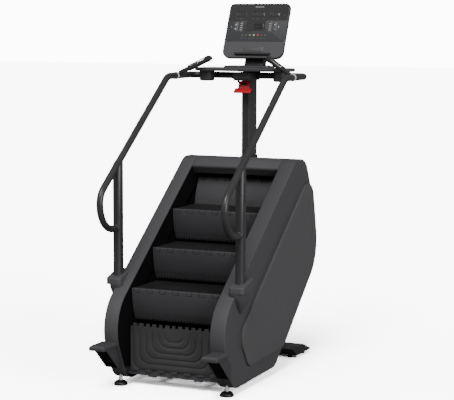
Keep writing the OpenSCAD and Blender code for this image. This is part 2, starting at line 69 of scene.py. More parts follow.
@dataclass(frozen=True)
class Finish:
    """One finish of the machine, as a procedural material on Object coordinates.

    colour is the linear base colour and spread the share by which it drifts from place to place.
    grain is the size of the surface's grain in metres and relief its height. wear is how far the
    roughness drifts either way. specular, coat and glow are the shader's own values.
    """

    name: str
    colour: Corner
    roughness: float = 0.5
    metallic: float = 0.0
    spread: float = 0.08
    grain: float = 0.0008
    relief: float = 0.00006
    wear: float = 0.06
    specular: float = 0.5
    coat: float = 0.0
    glow: float = 0.0

    def material(self) -> bpy.types.Material:
        """Builds the material once, and returns it.

        Returns:
            The material: the base colour follows slow noise, the roughness follows the mean of
            slow and fine noise, and fine noise is the grain.
        """
        found = bpy.data.materials.get(self.name)
        if found:
            return found
        made = bpy.data.materials.new(self.name)
        made.use_nodes = True
        nodes, links = made.node_tree.nodes, made.node_tree.links
        shader = nodes["Principled BSDF"]
        shader.inputs["Metallic"].default_value = self.metallic
        shader.inputs["Specular IOR Level"].default_value = self.specular
        shader.inputs["Coat Weight"].default_value = self.coat
        shader.inputs["Coat Roughness"].default_value = 0.08
        place = nodes.new("ShaderNodeTexCoord").outputs["Object"]
        slow = self._noise(nodes, links, place, 7.0, 3.0)
        fine = self._noise(nodes, links, place, 1.0 / self.grain, 2.0)
        tint = nodes.new("ShaderNodeValToRGB")
        for stop, share in zip(tint.color_ramp.elements, (1 - self.spread, 1 + self.spread)):
            stop.color = (*[c * share for c in self.colour], 1)
        tint.color_ramp.elements[0].position = 0.3
        tint.color_ramp.elements[1].position = 0.7
        links.new(slow, tint.inputs["Fac"])
        links.new(tint.outputs["Color"], shader.inputs["Base Color"])
        shine = nodes.new("ShaderNodeMapRange")
        shine.inputs["From Min"].default_value = 0.3
        shine.inputs["From Max"].default_value = 0.7
        shine.inputs["To Min"].default_value = max(0.02, self.roughness - self.wear)
        shine.inputs["To Max"].default_value = min(1.0, self.roughness + self.wear)
        mixed = nodes.new("ShaderNodeMath")
        mixed.operation = "ADD"
        links.new(slow, mixed.inputs[0])
        links.new(fine, mixed.inputs[1])
        half = nodes.new("ShaderNodeMath")
        half.operation = "MULTIPLY"
        half.inputs[1].default_value = 0.5
        links.new(mixed.outputs[0], half.inputs[0])
        links.new(half.outputs[0], shine.inputs["Value"])
        links.new(shine.outputs["Result"], shader.inputs["Roughness"])
        bump = nodes.new("ShaderNodeBump")
        bump.inputs["Strength"].default_value = 1.0
        bump.inputs["Distance"].default_value = self.relief
        links.new(fine, bump.inputs["Height"])
        links.new(bump.outputs["Normal"], shader.inputs["Normal"])
        if self.glow:
            shader.inputs["Emission Color"].default_value = (*self.colour, 1)
            shader.inputs["Emission Strength"].default_value = self.glow
        return made

    @staticmethod
    def _noise(nodes: bpy.types.Nodes, links: bpy.types.NodeLinks, place: bpy.types.NodeSocket,
               scale: float, detail: float) -> bpy.types.NodeSocket:
        """A noise texture's value at one scale.

        Args:
            nodes, links: the material's own.
            place: the coordinates that the noise is read at.
            scale: how many waves a metre holds.
            detail: how many finer layers lie over the first.

        Returns:
            The socket of the noise's value.
        """
        noise = nodes.new("ShaderNodeTexNoise")
        noise.inputs["Scale"].default_value = scale
        noise.inputs["Detail"].default_value = detail
        links.new(place, noise.inputs["Vector"])
        return noise.outputs["Fac"]


COVER = Finish("cover_plastic", (0.050, 0.050, 0.052), 0.46)
PANEL = Finish("panel_plastic", (0.070, 0.070, 0.072), 0.46)
STEP = Finish("step_plastic", (0.032, 0.032, 0.033), 0.42, grain=0.0012)
KICK = Finish("kick_plastic", (0.046, 0.046, 0.047), 0.40)
# Nearly black, far darker than the black plastic: the liners' own black, darkened further to paint the shade
# in the stair well, and painted shade under the step-on pads.
SHADE_BLACK = Finish("painted_shade_black", (0.0022, 0.0022, 0.0022), 0.8, specular=0.12)
RAIL = Finish("rail_powder_coat", (0.034, 0.034, 0.035), 0.36, grain=0.0006, relief=0.00004)
FRAME = Finish("frame_powder_coat", (0.06, 0.062, 0.066), 0.45, grain=0.0006)
# A darker copy of the step plastic, for the treads' tops only.
STEP_DARK_TOP = Finish("step_plastic_dark_top", (0.011, 0.011, 0.0115), 0.5, grain=0.0012)
BLACK = Finish("black_plastic", (0.012, 0.012, 0.0125), 0.38)
RUBBER = Finish("grip_rubber", (0.013, 0.013, 0.0135), 0.5, grain=0.0005)
PAD = Finish("foot_rubber", (0.008, 0.008, 0.008), 0.33)
CHROME = Finish("chrome", (0.82, 0.82, 0.84), 0.12, 1.0, 0.02, 0.004, 0.00001, 0.04)
ZINC = Finish("zinc_plate", (0.90, 0.90, 0.90), 0.34, 0.15, 0.04, 0.004, 0.00001, 0.04)
STEEL = Finish("turned_steel", (0.42, 0.42, 0.43), 0.32, 1.0, 0.1, 0.0007, 0.00003, 0.08)
CHAIN = Finish("oiled_chain", (0.16, 0.155, 0.15), 0.38, 1.0, 0.2, 0.003, 0.0003, 0.1)
IRON = Finish("machined_iron", (0.11, 0.11, 0.115), 0.45, 0.8, 0.1)
LEVER = Finish("lever_red", (0.62, 0.012, 0.018), 0.28, 0.0, 0.04, 0.0008, 0.00003, 0.04, 0.5, 0.4)
SHELL = Finish("console_shell", (0.040, 0.040, 0.042), 0.44, grain=0.0006)
KEYPAD = Finish("keypad_film", (0.036, 0.037, 0.039), 0.55, grain=0.0005, relief=0.00003)
GLASS = Finish("display_glass", (0.006, 0.006, 0.0065), 0.05, 0.0, 0.02, 0.02, 0.0, 0.02, 0.5, 0.6)
WINDOW = Finish("display_window", (0.018, 0.016, 0.017), 0.2, relief=0.0)
INK = Finish("white_ink", (0.62, 0.63, 0.64), 0.5, relief=0.0)
FAINT = Finish("grey_ink", (0.16, 0.16, 0.165), 0.5, relief=0.0)
GREEN = Finish("green_key", (0.16, 0.42, 0.03), 0.4, relief=0.0)
RED = Finish("red_key", (0.72, 0.03, 0.03), 0.4, relief=0.0)
TEAL = Finish("teal_light", (0.02, 0.35, 0.30), 0.3, relief=0.0, glow=0.6)
FLOOR = Finish("pale_floor", (0.86, 0.86, 0.86), 0.62, relief=0.0, spread=0.005, specular=0.3)


# ---------------------------------------------------------------- lines


def unit(v: Array) -> Array:
    """The vector at length one."""
    return v / np.linalg.norm(v)


def bend(before: Array, at: Array, after: Array, r: float, step: float) -> Array:
    """Points of the round that joins two straights at a corner.

    The centre lies on the bisector, r / sin(half the angle) away, and the arc touches both
    straights r / tan(half the angle) from the corner.

    Args:
        before, at, after: the corner and its neighbours, in the plane.
        r: the radius, or 0 for a sharp corner.
        step: the longest step between points.

    Returns:
        Points of the arc, in order.
    """
    if r <= 0:
        return at[None, :]
    p, q = unit(before - at), unit(after - at)
    half = math.acos(float(np.clip(p @ q, -1, 1))) / 2
    centre = at + unit(p + q) * r / math.sin(half)
    start, end = at + p * r / math.tan(half) - centre, at + q * r / math.tan(half) - centre
    a0 = math.atan2(start[1], start[0])
    turn = (math.atan2(end[1], end[0]) - a0 + math.pi) % (2 * math.pi) - math.pi
    n = max(4, int(math.ceil(abs(turn) * r / step)), int(abs(turn) / math.radians(9)))
    a = a0 + turn * np.linspace(0, 1, n + 1)
    return centre + r * np.stack([np.cos(a), np.sin(a)], 1)


def trace(corners: list[Corner], step: float = 0.01, closed: bool = True) -> Array:
    """A line through rounded corners, with points no further apart than step.

    Args:
        corners: (a, b, radius) of each corner; the ends of an open line have radius 0.
        step: the longest step along rounds and straights.
        closed: whether the last corner joins the first.

    Returns:
        The points, as an (n, 2) array.
    """
    c = np.array([k[:2] for k in corners], float)
    r = [k[2] if len(k) > 2 else 0.0 for k in corners]
    n = len(c)
    inner = range(n) if closed else range(1, n - 1)
    arcs = [bend(c[i - 1], c[i], c[(i + 1) % n], r[i], step) for i in inner]
    if not closed:
        arcs = [c[:1], *arcs, c[-1:]]
    parts = []
    for i, arc in enumerate(arcs):
        parts.append(arc)
        if i + 1 == len(arcs) and not closed:
            break
        to = arcs[(i + 1) % len(arcs)][0]
        gap = float(np.linalg.norm(to - arc[-1]))
        more = int(gap / step)
        if more:
            t = np.linspace(0, 1, more + 2)[1:-1, None]
            parts.append(arc[-1] * (1 - t) + to * t)
    return np.concatenate(parts)


def outward(points: Array, closed: bool = True) -> Array:
    """Unit normals of a line, pointing away from its middle.

    Each is the tangent between the neighbours, turned a quarter. They are all turned round
    together if on the whole they point towards the mean of the points.

    Args:
        points: the line, (n, 2).
        closed: whether the last point joins the first.

    Returns:
        The normals, (n, 2).
    """
    if closed:
        t = np.roll(points, -1, 0) - np.roll(points, 1, 0)
    else:
        t = np.gradient(points, axis=0)
    n = np.stack([t[:, 1], -t[:, 0]], 1)
    n /= np.linalg.norm(n, axis=1)[:, None] + 1e-12
    if ((points - points.mean(0)) * n).sum() < 0:
        n = -n
    return n


def rounded_rect(w: float, h: float, r: float, step: float = 0.006) -> Array:
    """A rectangle w by h about the origin, with corners of radius r."""
    return trace([(-w / 2, -h / 2, r), (w / 2, -h / 2, r), (w / 2, h / 2, r), (-w / 2, h / 2, r)], step)


def ray_points(angles: Array, line: Array, centre: Array) -> Array:
    """Where rays from a centre meet a closed line that is star-shaped about it.

    The line is read as radius against angle, and that is interpolated.

    Args:
        angles: the rays' directions, in radians.
        line: the closed line, (n, 2).
        centre: where the rays start.

    Returns:
        One point for each ray, (len(angles), 2).
    """
    d = line - centre
    a = np.arctan2(d[:, 1], d[:, 0])
    order = np.argsort(a)
    r = np.interp(angles, a[order], np.linalg.norm(d, axis=1)[order], period=2 * math.pi)
    return centre + r[:, None] * np.stack([np.cos(angles), np.sin(angles)], 1)


# ---------------------------------------------------------------- meshes


@dataclass
class Piece:
    """A visible piece while it is being made: grids of points, joined into one mesh."""

    name: str
    body: str
    slot: str
    finish: Finish
    replaces: tuple[str, ...] = ()
    smooth: float = 40.0
    points: list[Array] = field(default_factory=list)
    quads: list[Array] = field(default_factory=list)
    caps: list[list[int]] = field(default_factory=list)
    count: int = 0

    def grid(self, p: Array, around: bool = True, cap_first: bool = False,
             cap_last: bool = False) -> "Piece":
        """Adds a grid of points as quads.

        Args:
            p: (rings, points, 3).
            around: whether each ring is closed.
            cap_first, cap_last: whether to close the first and the last ring with one face.

        Returns:
            This piece.
        """
        rings, n = p.shape[:2]
        i = np.arange(rings * n).reshape(rings, n) + self.count
        j = np.roll(i, -1, 1) if around else i[:, 1:]
        a = i if around else i[:, :-1]
        quad = np.stack([a[:-1], j[:-1], j[1:], a[1:]], -1).reshape(-1, 4)
        self.points.append(p.reshape(-1, 3))
        self.quads.append(quad)
        if cap_first:
            self.caps.append(i[0][::-1].tolist())
        if cap_last:
            self.caps.append(i[-1].tolist())
        self.count += rings * n
        return self

    def faces(self, p: Array, quads: Array) -> "Piece":
        """Adds points and the quads that join them.

        Args:
            p: the points, (n, 3).
            quads: which points each face joins, (m, 4).

        Returns:
            This piece.
        """
        self.quads.append(quads + self.count)
        self.points.append(p)
        self.count += len(p)
        return self

    def finish_up(self) -> bpy.types.Object:
        """Makes the object: merges doubles, turns faces outward, shades and dresses it.

        Returns:
            The finished object, riding on its body.
        """
        mesh = bpy.data.meshes.new(self.name)
        faces = (np.concatenate(self.quads).tolist() if self.quads else []) + self.caps
        mesh.from_pydata(np.concatenate(self.points).tolist(), [], faces)
        work = bmesh.new()
        work.from_mesh(mesh)
        bmesh.ops.remove_doubles(work, verts=work.verts, dist=MERGE)
        bmesh.ops.dissolve_degenerate(work, dist=MERGE / 2, edges=work.edges)
        bmesh.ops.recalc_face_normals(work, faces=work.faces)
        work.to_mesh(mesh)
        work.free()
        mesh.shade_smooth()
        mesh.set_sharp_from_angle(angle=math.radians(self.smooth))
        made = bpy.data.objects.new(self.name, mesh)
        bpy.context.scene.collection.objects.link(made)
        mesh.materials.append(self.finish.material())
        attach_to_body(made, self.body)
        if self.replaces:
            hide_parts(*self.replaces)
        log.info("%s: %d faces on %s", self.name, len(mesh.polygons), self.body)
        return made


def place(p: Array, origin: Corner, u: Corner, v: Corner, w: Corner) -> Array:
    """Points (..., 3) of a piece's own frame, set in the machine's frame by three axes."""
    return np.asarray(origin) + p @ np.array([u, v, w], float)


def plate_rings(line: Array, low: float, high: float, r_low: float, r_high: float, n: int = 4) -> Array:
    """Rings of a plate with rounded rims.

    A rim is a quarter circle: at angle a the ring is in by r (1 - cos a), and short of the face
    by r (1 - sin a).

    Args:
        line: the plate's outline (m, 2).
        low, high: its two faces.
        r_low, r_high: radius of each rim, or 0.
        n: steps in each rim.

    Returns:
        (rings, m, 3) with the height as the third coordinate.
    """
    out = outward(line)
    a = np.linspace(0, math.pi / 2, n + 1)
    foot = [(r_low * (1 - math.sin(t)), low + r_low * (1 - math.cos(t))) for t in a]
    head = [(r_high * (1 - math.cos(t)), high - r_high * (1 - math.sin(t))) for t in a]
    section = (foot if r_low else [(0, low)]) + (head if r_high else [(0, high)])
    return np.array([np.column_stack([line - out * d, np.full(len(line), h)]) for d, h in section])


def tube_rings(path: Array, radius: float | list[float] | Array, sides: int = 36,
               flat: float = 1.0) -> Array:
    """Rings round a path, each square to it.

    The section's first axis is the normal of the path's plane, and its second is square to that
    normal and to the path.

    Args:
        path: points (n, 3) of a path that lies in one plane.
        radius: one radius, or one for each point.
        sides: points in a ring.
        flat: the section's size along the plane's normal, as a share of its radius.

    Returns:
        (n, sides, 3).
    """
    t = np.gradient(path, axis=0)
    t /= np.linalg.norm(t, axis=1)[:, None]
    cross = np.cross(t[:-1], t[1:]).sum(0)
    if np.linalg.norm(cross) < 1e-6:
        cross = np.cross(t[0], [0.0, 0.0, 1.0] if abs(t[0][2]) < 0.9 else [0.0, 1.0, 0.0])
    normal = unit(cross)[None, :] * np.ones_like(t)
    side = np.cross(t, normal)
    side /= np.linalg.norm(side, axis=1)[:, None]
    a = np.linspace(0, 2 * math.pi, sides, endpoint=False)
    r = np.broadcast_to(np.asarray(radius, float), (len(path),))[:, None, None]
    ring = np.cos(a)[None, :, None] * normal[:, None, :] * flat + np.sin(a)[None, :, None] * side[:, None, :]
    return path[:, None, :] + r * ring


def turned(profile: list[tuple[float, float]], centre: Corner, sides: int = 56) -> Array:
    """Rings of a turned piece about a vertical axis.

    Args:
        profile: (radius, height) pairs.
        centre: the foot of the axis.
        sides: points round it.

    Returns:
        (len(profile), sides, 3).
    """
    a = np.linspace(0, 2 * math.pi, sides, endpoint=False)
    p = np.array(profile, float)
    x = p[:, :1] * np.cos(a)[None, :]
    y = p[:, :1] * np.sin(a)[None, :]
    z = np.repeat(p[:, 1:], sides, 1)
    return np.stack([x, y, z], -1) + np.asarray(centre)


def shell_of(front: Array, back: Array, keep: Array) -> tuple[Array, Array]:
    """A closed wall between two grids, with cells left out.

    Front and back faces are made for every kept cell, and a wall wherever a kept cell's edge
    has no kept neighbour: an edge is a border if its reverse is on no other kept cell.

    Args:
        front, back: (rows, cols, 3) grids that match.
        keep: (rows - 1, cols - 1), true where there is material.

    Returns:
        Points and quads.
    """
    rows, cols = front.shape[:2]
    i = np.arange(rows * cols).reshape(rows, cols)
    quad = np.stack([i[:-1, :-1], i[:-1, 1:], i[1:, 1:], i[1:, :-1]], -1)[keep]
    total = rows * cols
    ends = np.concatenate([quad[:, [k, (k + 1) % 4]] for k in range(4)])
    code, reverse = ends[:, 0] * total + ends[:, 1], ends[:, 1] * total + ends[:, 0]
    rim = ends[~np.isin(code, reverse)]
    walls = np.column_stack([rim[:, 1], rim[:, 0], rim[:, 0] + total, rim[:, 1] + total])
    points = np.concatenate([front.reshape(-1, 3), back.reshape(-1, 3)])
    return points, np.concatenate([quad, quad[:, ::-1] + total, walls])


def hump(x: Array, half: float, edge: float) -> Array:
    """1 within half of zero, falling straight to 0 over the next edge."""
    return np.clip((half + edge - np.abs(x)) / edge, 0, 1)


# ---------------------------------------------------------------- body


@dataclass
class Body:
    """Covers round the stair well, the collars of the handrail posts, and the step-on pads."""

    outline: tuple[Corner, ...] = (
        (-0.534, 0.036, 0.120), (-0.719, 0.422, 0.254), (0.421, 1.284, 0.110), (0.585, 1.284, 0.130),
        (0.700, 1.060, 0.300), (0.792, 0.640, 0.290), (0.097, 0.050, 0.080))
    panel: tuple[Corner, ...] = (
        (-0.326, 0.136, 0.060), (-0.463, 0.341, 0.130), (0.670, 1.203, 0.105), (0.790, 0.642, 0.285),
        (0.205, 0.152, 0.030))
    middle: tuple[float, float] = (0.14, 0.68)
    well: float = 0.2952
    crease: float = 0.3866
    wall: float = 0.004
    seam: float = 0.0022
    panel_out: float = 0.3988
    collar_x: float = 0.396
    collar_y: float = -0.446
    collar_size: Corner = (0.096, 0.156, 0.022)
    collar_lean: float = 16.0
    pad_x: float = 0.3565
    pad_y: float = -0.720
    pad_size: tuple[float, float] = (0.102, 0.158)

    def build(self) -> None:
        """Builds every cover, collar and pad."""
        for side in Side:
            self.side_cover(side)
            self.side_panel(side)
            self.collar(side)
            self.step_pad(side)
        self.top_cap()
        self.strip("rear_cover_shell", "rear_cover", self._part(0.62, 1.0992, 0.5))
        self.strip("underside_cover_shell", "underside_cover", self._underside())

    def side_cover(self, side: Side) -> None:
        """One moulded side cover: the band, a rolled crease, the flank and the panel's seam.

        Every ring is the outline moved in along its normals, until the flank, where it runs on
        rays from the middle to the panel's recess.

        Args:
            side: which side of the machine it is on.
        """
        line = trace(list(self.outline), 0.008)
        out = outward(line)
        centre = np.array(self.middle)
        aim = line - out * 0.006 - centre
        angles = np.arctan2(aim[:, 1], aim[:, 0])
        recess = trace(list(self.panel), 0.003)
        recess_out = outward(recess)
        roll = 0.005
        a = np.linspace(0, math.pi / 2, 6)
        section = [(self.wall, self.well), (0.0012, self.well), (0.0004, self.well + 0.0004),
                   (0.0, self.well + 0.0012), (0.0, self.crease - roll)]
        section += [(roll * (1 - math.cos(t)), self.crease - roll * (1 - math.sin(t))) for t in a[1:]]
        rings = [(line - out * d, x) for d, x in section]
        edge = line - out * roll
        for grow, x in ((0.0042, self.crease), (self.seam, self.crease - 0.0012),
                        (self.seam, self.crease - 0.005), (-0.008, self.crease - 0.005)):
            rings.append((ray_points(angles, recess + recess_out * grow, centre), x))
        inner = [(line - out * self.wall * 1.6, self.crease - 0.0085),
                 (line - out * self.wall, self.crease - 0.010)]
        flank = rings[len(section)][0]
        steps = [(edge * (1 - t) + flank * t, self.crease) for t in (0.33, 0.66)]
        rings[len(section):len(section)] = steps
        rings = inner + rings
        grid = np.array([np.column_stack([np.full(len(p), side.value * x), p]) for p, x in rings])
        piece = Piece(f"side_cover_shell_{side.word}", "frame", "cover_plastic", COVER,
                      (f"side_cover_{side.word}",), smooth=32)
        piece.grid(grid, cap_first=True, cap_last=True).finish_up()

    def side_panel(self, side: Side) -> None:
        """The inset panel, crowned by a hair and with a rolled rim, and its long raised bead.

        A ring inside the rim is the rim shrunk to a share t about the middle, and stands higher
        by the crown times (1 - t squared). The bead's radius swells as the root of a sine.

        Args:
            side: which side of the machine it is on.
        """
        line = trace(list(self.panel), 0.008)
        out = outward(line)
        centre = np.array(self.middle)
        roll, foot = 0.0045, self.crease - 0.0045
        crown = 0.0008
        high = self.panel_out - crown
        a = np.linspace(0, math.pi / 2, 6)
        rings = [(line, foot)]
        rings += [(line - out * roll * (1 - math.cos(t)), high - roll * (1 - math.sin(t))) for t in a]
        rim = line - out * roll
        for t in (0.8, 0.6, 0.4, 0.2, 0.02):
            rings.append((centre + (rim - centre) * t, high + crown * (1 - t * t)))
        grid = np.array([np.column_stack([np.full(len(p), side.value * x), p]) for p, x in rings])
        piece = Piece(f"side_panel_shell_{side.word}", "frame", "panel_plastic", PANEL,
                      (f"side_panel_{side.word}",), smooth=32)
        piece.grid(grid, cap_first=True, cap_last=True).finish_up()
        route = trace([(0.560, 0.936), (-0.190, 0.361, 0.16), (-0.240, 0.285)], 0.012, closed=False)
        path = np.column_stack([np.full(len(route), side.value * (high + 0.0001)), route])
        swell = 0.0016 * np.sin(np.linspace(0.12, math.pi - 0.12, len(path))) ** 0.5
        bead = Piece(f"panel_bead_{side.word}", "frame", "panel_plastic", PANEL)
        bead.grid(tube_rings(path, swell, 10, flat=0.45), cap_first=True, cap_last=True).finish_up()

    def _part(self, low: float, high: float, behind: float) -> Array:
        """The outline's stretch between two heights, behind one Y, from its top down.

        Args:
            low, high: the two heights.
            behind: the Y that it lies behind.

        Returns:
            Its points, (n, 2).
        """
        line = trace(list(self.outline), 0.004)
        kept = line[(line[:, 1] > low) & (line[:, 1] < high) & (line[:, 0] > behind)]
        return kept[np.argsort(-kept[:, 1])]

    def _underside(self) -> Array:
        """The outline's stretch under the machine, from the rear down to the front.

        Returns:
            Its points, (n, 2).
        """
        line = trace(list(self.outline), 0.004)
        kept = line[(line[:, 1] < 0.6194) & (line[:, 0] > 0.175) & (line[:, 1] < line[:, 0] + 0.2)]
        return kept[np.argsort(-kept[:, 0])]

    def strip(self, name: str, node: str, line: Array, half: float = 0.2934,
              edge: float = 0.0016) -> None:
        """A cover that runs across the machine along a line in the side view.

        Each ring is the cover's section across the machine: two faces a wall apart, with
        rounded rims at the two seams and a lip that runs on under the side covers.

        Args:
            name: the piece.
            node: the CAD node it stands for.
            line: (n, 2) points in the side view, from front or top onwards.
            half: half its width.
            edge: radius of the rims.
        """
        out = outward(line, closed=False)
        centre = np.array(self.middle)
        flip = np.sign(((line - centre) * out).sum(1))[:, None]
        out = out * flip
        a = np.linspace(0, math.pi / 2, 4)
        lip = self.wall + 0.0005
        section = [(self.well + 0.004, lip + 0.0017), (self.well + 0.004, lip), (half, lip)]
        section += [(half - edge + edge * math.cos(t), edge - edge * math.sin(t)) for t in a]
        full = section + [(-x, d) for x, d in section[::-1]]
        grid = np.array([[(x, *(p - n * d)) for x, d in full] for p, n in zip(line, out)])
        piece = Piece(name, "frame", "cover_plastic", COVER, (node,), smooth=32)
        piece.grid(grid, cap_first=True, cap_last=True).finish_up()

    def top_cap(self) -> None:
        """The cap over the upper shaft, whose front rolls down into the well, and the mast's boot."""
        line = trace([(0.389, 1.187), (0.3535, 1.2315, 0.011), (0.421, 1.284, 0.110),
                      (0.585, 1.284, 0.130), (0.6797, 1.0999)], 0.004, closed=False)
        self.strip("top_cap_shell", "top_cap", line)
        mast, proud = Upper(), 0.012
        ring = rounded_rect(mast.mast_w + proud, mast.mast_d + proud, 0.009)
        boot = plate_rings(ring, 1.25, 1.2905, 0, 0.003)
        boot[:, :, 1] += mast.mast_y
        piece = Piece("mast_boot", "frame", "neck_black", BLACK)
        piece.grid(boot, cap_first=True, cap_last=True).finish_up()

    def collar(self, side: Side) -> None:
        """The block that holds a handrail post, and the fairing that runs out under it.

        The block's top leans, so a ring's height there rises with Y up to a level stretch. The
        fairing is a fat-cornered ellipse at each height, growing upwards as a power of a sine.

        Args:
            side: which side of the machine it is on.
        """
        place_at = np.array([side.value * self.collar_x, self.collar_y])
        line = rounded_rect(*self.collar_size, 0.005) + place_at
        out = outward(line)
        lean = math.tan(math.radians(self.collar_lean))

        def top(p: Array) -> Array:
            """Height of the block's top at each point."""
            return np.minimum(0.6300 + (p[:, 1] + 0.530) * lean, 0.674)

        roll = 0.008
        rings = [np.column_stack([line, np.full(len(line), 0.596)])]
        for t in np.linspace(0, math.pi / 2, 6):
            p = line - out * roll * (1 - math.cos(t))
            rings.append(np.column_stack([p, top(p) - roll * (1 - math.sin(t))]))
        piece = Piece(f"collar_block_{side.word}", "frame", "cover_plastic", COVER, (f"collar_{side.word}",))
        piece.grid(np.array(rings), cap_first=True, cap_last=True).finish_up()
        screw = Piece(f"collar_screw_{side.word}", "frame", "machined_steel", BLACK)
        hole = turned([(0.0, 0.0), (0.0042, 0.0), (0.0048, 0.0006), (0.0048, 0.002), (0.0, 0.002)],
                      (0, 0, 0), 20)
        hole = place(hole, (side.value * 0.3478, -0.402, 0.640), (0, 1, 0), (0, 0, 1), (-side.value, 0, 0))
        screw.grid(hole).finish_up()
        t = np.linspace(0, 1, 22)
        grow = np.sin(t * math.pi / 2) ** 0.8
        z = 0.462 + 0.1335 * t
        a = np.linspace(0, 2 * math.pi, 40, endpoint=False)
        across = np.sign(np.cos(a)) * np.abs(np.cos(a)) ** 0.8
        along = np.sign(np.sin(a)) * np.abs(np.sin(a)) ** 0.8
        x = side.value * (0.384 + (0.052 * grow + 0.001)[:, None] * across[None, :])
        y = (-0.428 - 0.025 * t)[:, None] + (0.006 + 0.066 * grow)[:, None] * along[None, :]
        rings = np.stack([x, y, np.repeat(z[:, None], len(a), 1)], -1)
        fairing = Piece(f"collar_fairing_{side.word}", "frame", "cover_plastic", COVER)
        fairing.grid(rings, cap_first=True, cap_last=True).finish_up()

    def step_pad(self, side: Side) -> None:
        """A step-on pad: a bevelled, ribbed tread plate on a channel that runs down to the cover.

        Args:
            side: which side of the machine it is on.
        """
        middle = np.array([side.value * self.pad_x, self.pad_y])
        wide, deep = self.pad_size
        line = rounded_rect(wide, deep, 0.005, 0.02)
        rings = []
        for inset, z in ((0.004, 0.2502), (0.001, 0.2512), (0.0, 0.2535), (0.0, 0.268), (0.001, 0.2705),
                         (0.010, 0.2795), (0.012, 0.2806)):
            p = line * np.array([1 - inset * 2 / wide, 1 - inset * 2 / deep]) + middle
            rings.append(np.column_stack([p, np.full(len(p), z)]))
        pad = Piece(f"step_pad_top_{side.word}", "frame", "cover_plastic", STEP, (f"step_pad_{side.word}",))
        pad.grid(np.array(rings), cap_first=True, cap_last=True)
        for k in range(7):
            x = side.value * (self.pad_x + (k - 3) * 0.0115)
            rib = plate_rings(rounded_rect(0.005, 0.13, 0.0024, 0.004) + np.array([x, -0.718]),
                              0.2800, 0.2818, 0, 0.0008, 2)
            pad.grid(rib, cap_first=True, cap_last=True)
        pad.finish_up()
        # The channel's face under the pad takes the near-black painted-shade finish, which paints the shade
        # under the pad; the cheeks keep the step plastic.
        strut = Piece(f"step_pad_strut_{side.word}", "frame", "cover_plastic", SHADE_BLACK)
        cheeks = Piece(f"step_pad_cheeks_{side.word}", "frame", "cover_plastic", STEP)
        face = [(-0.748, 0.2515, 0.002), (-0.730, 0.2515, 0.002), (-0.590, 0.142, 0.002),
                (-0.590, 0.118, 0.002), (-0.606, 0.118, 0.002)]
        cheek = [(-0.756, 0.2515, 0.002), (-0.655, 0.2515, 0.002), (-0.590, 0.205, 0.002),
                 (-0.590, 0.118, 0.002), (-0.610, 0.118, 0.002)]
        for line, x0, x1 in ((face, 0.317, 0.395), (cheek, 0.315, 0.3205), (cheek, 0.3925, 0.398)):
            rings = plate_rings(trace(line, 0.02), x0, x1, 0.001, 0.001, 2)
            rings = place(rings, (0, 0, 0), (0, 1, 0), (0, 0, 1), (side.value, 0, 0))
            (strut if line is face else cheeks).grid(rings, cap_first=True, cap_last=True)
        strut.finish_up()
        cheeks.finish_up()


# ---------------------------------------------------------------- stairs


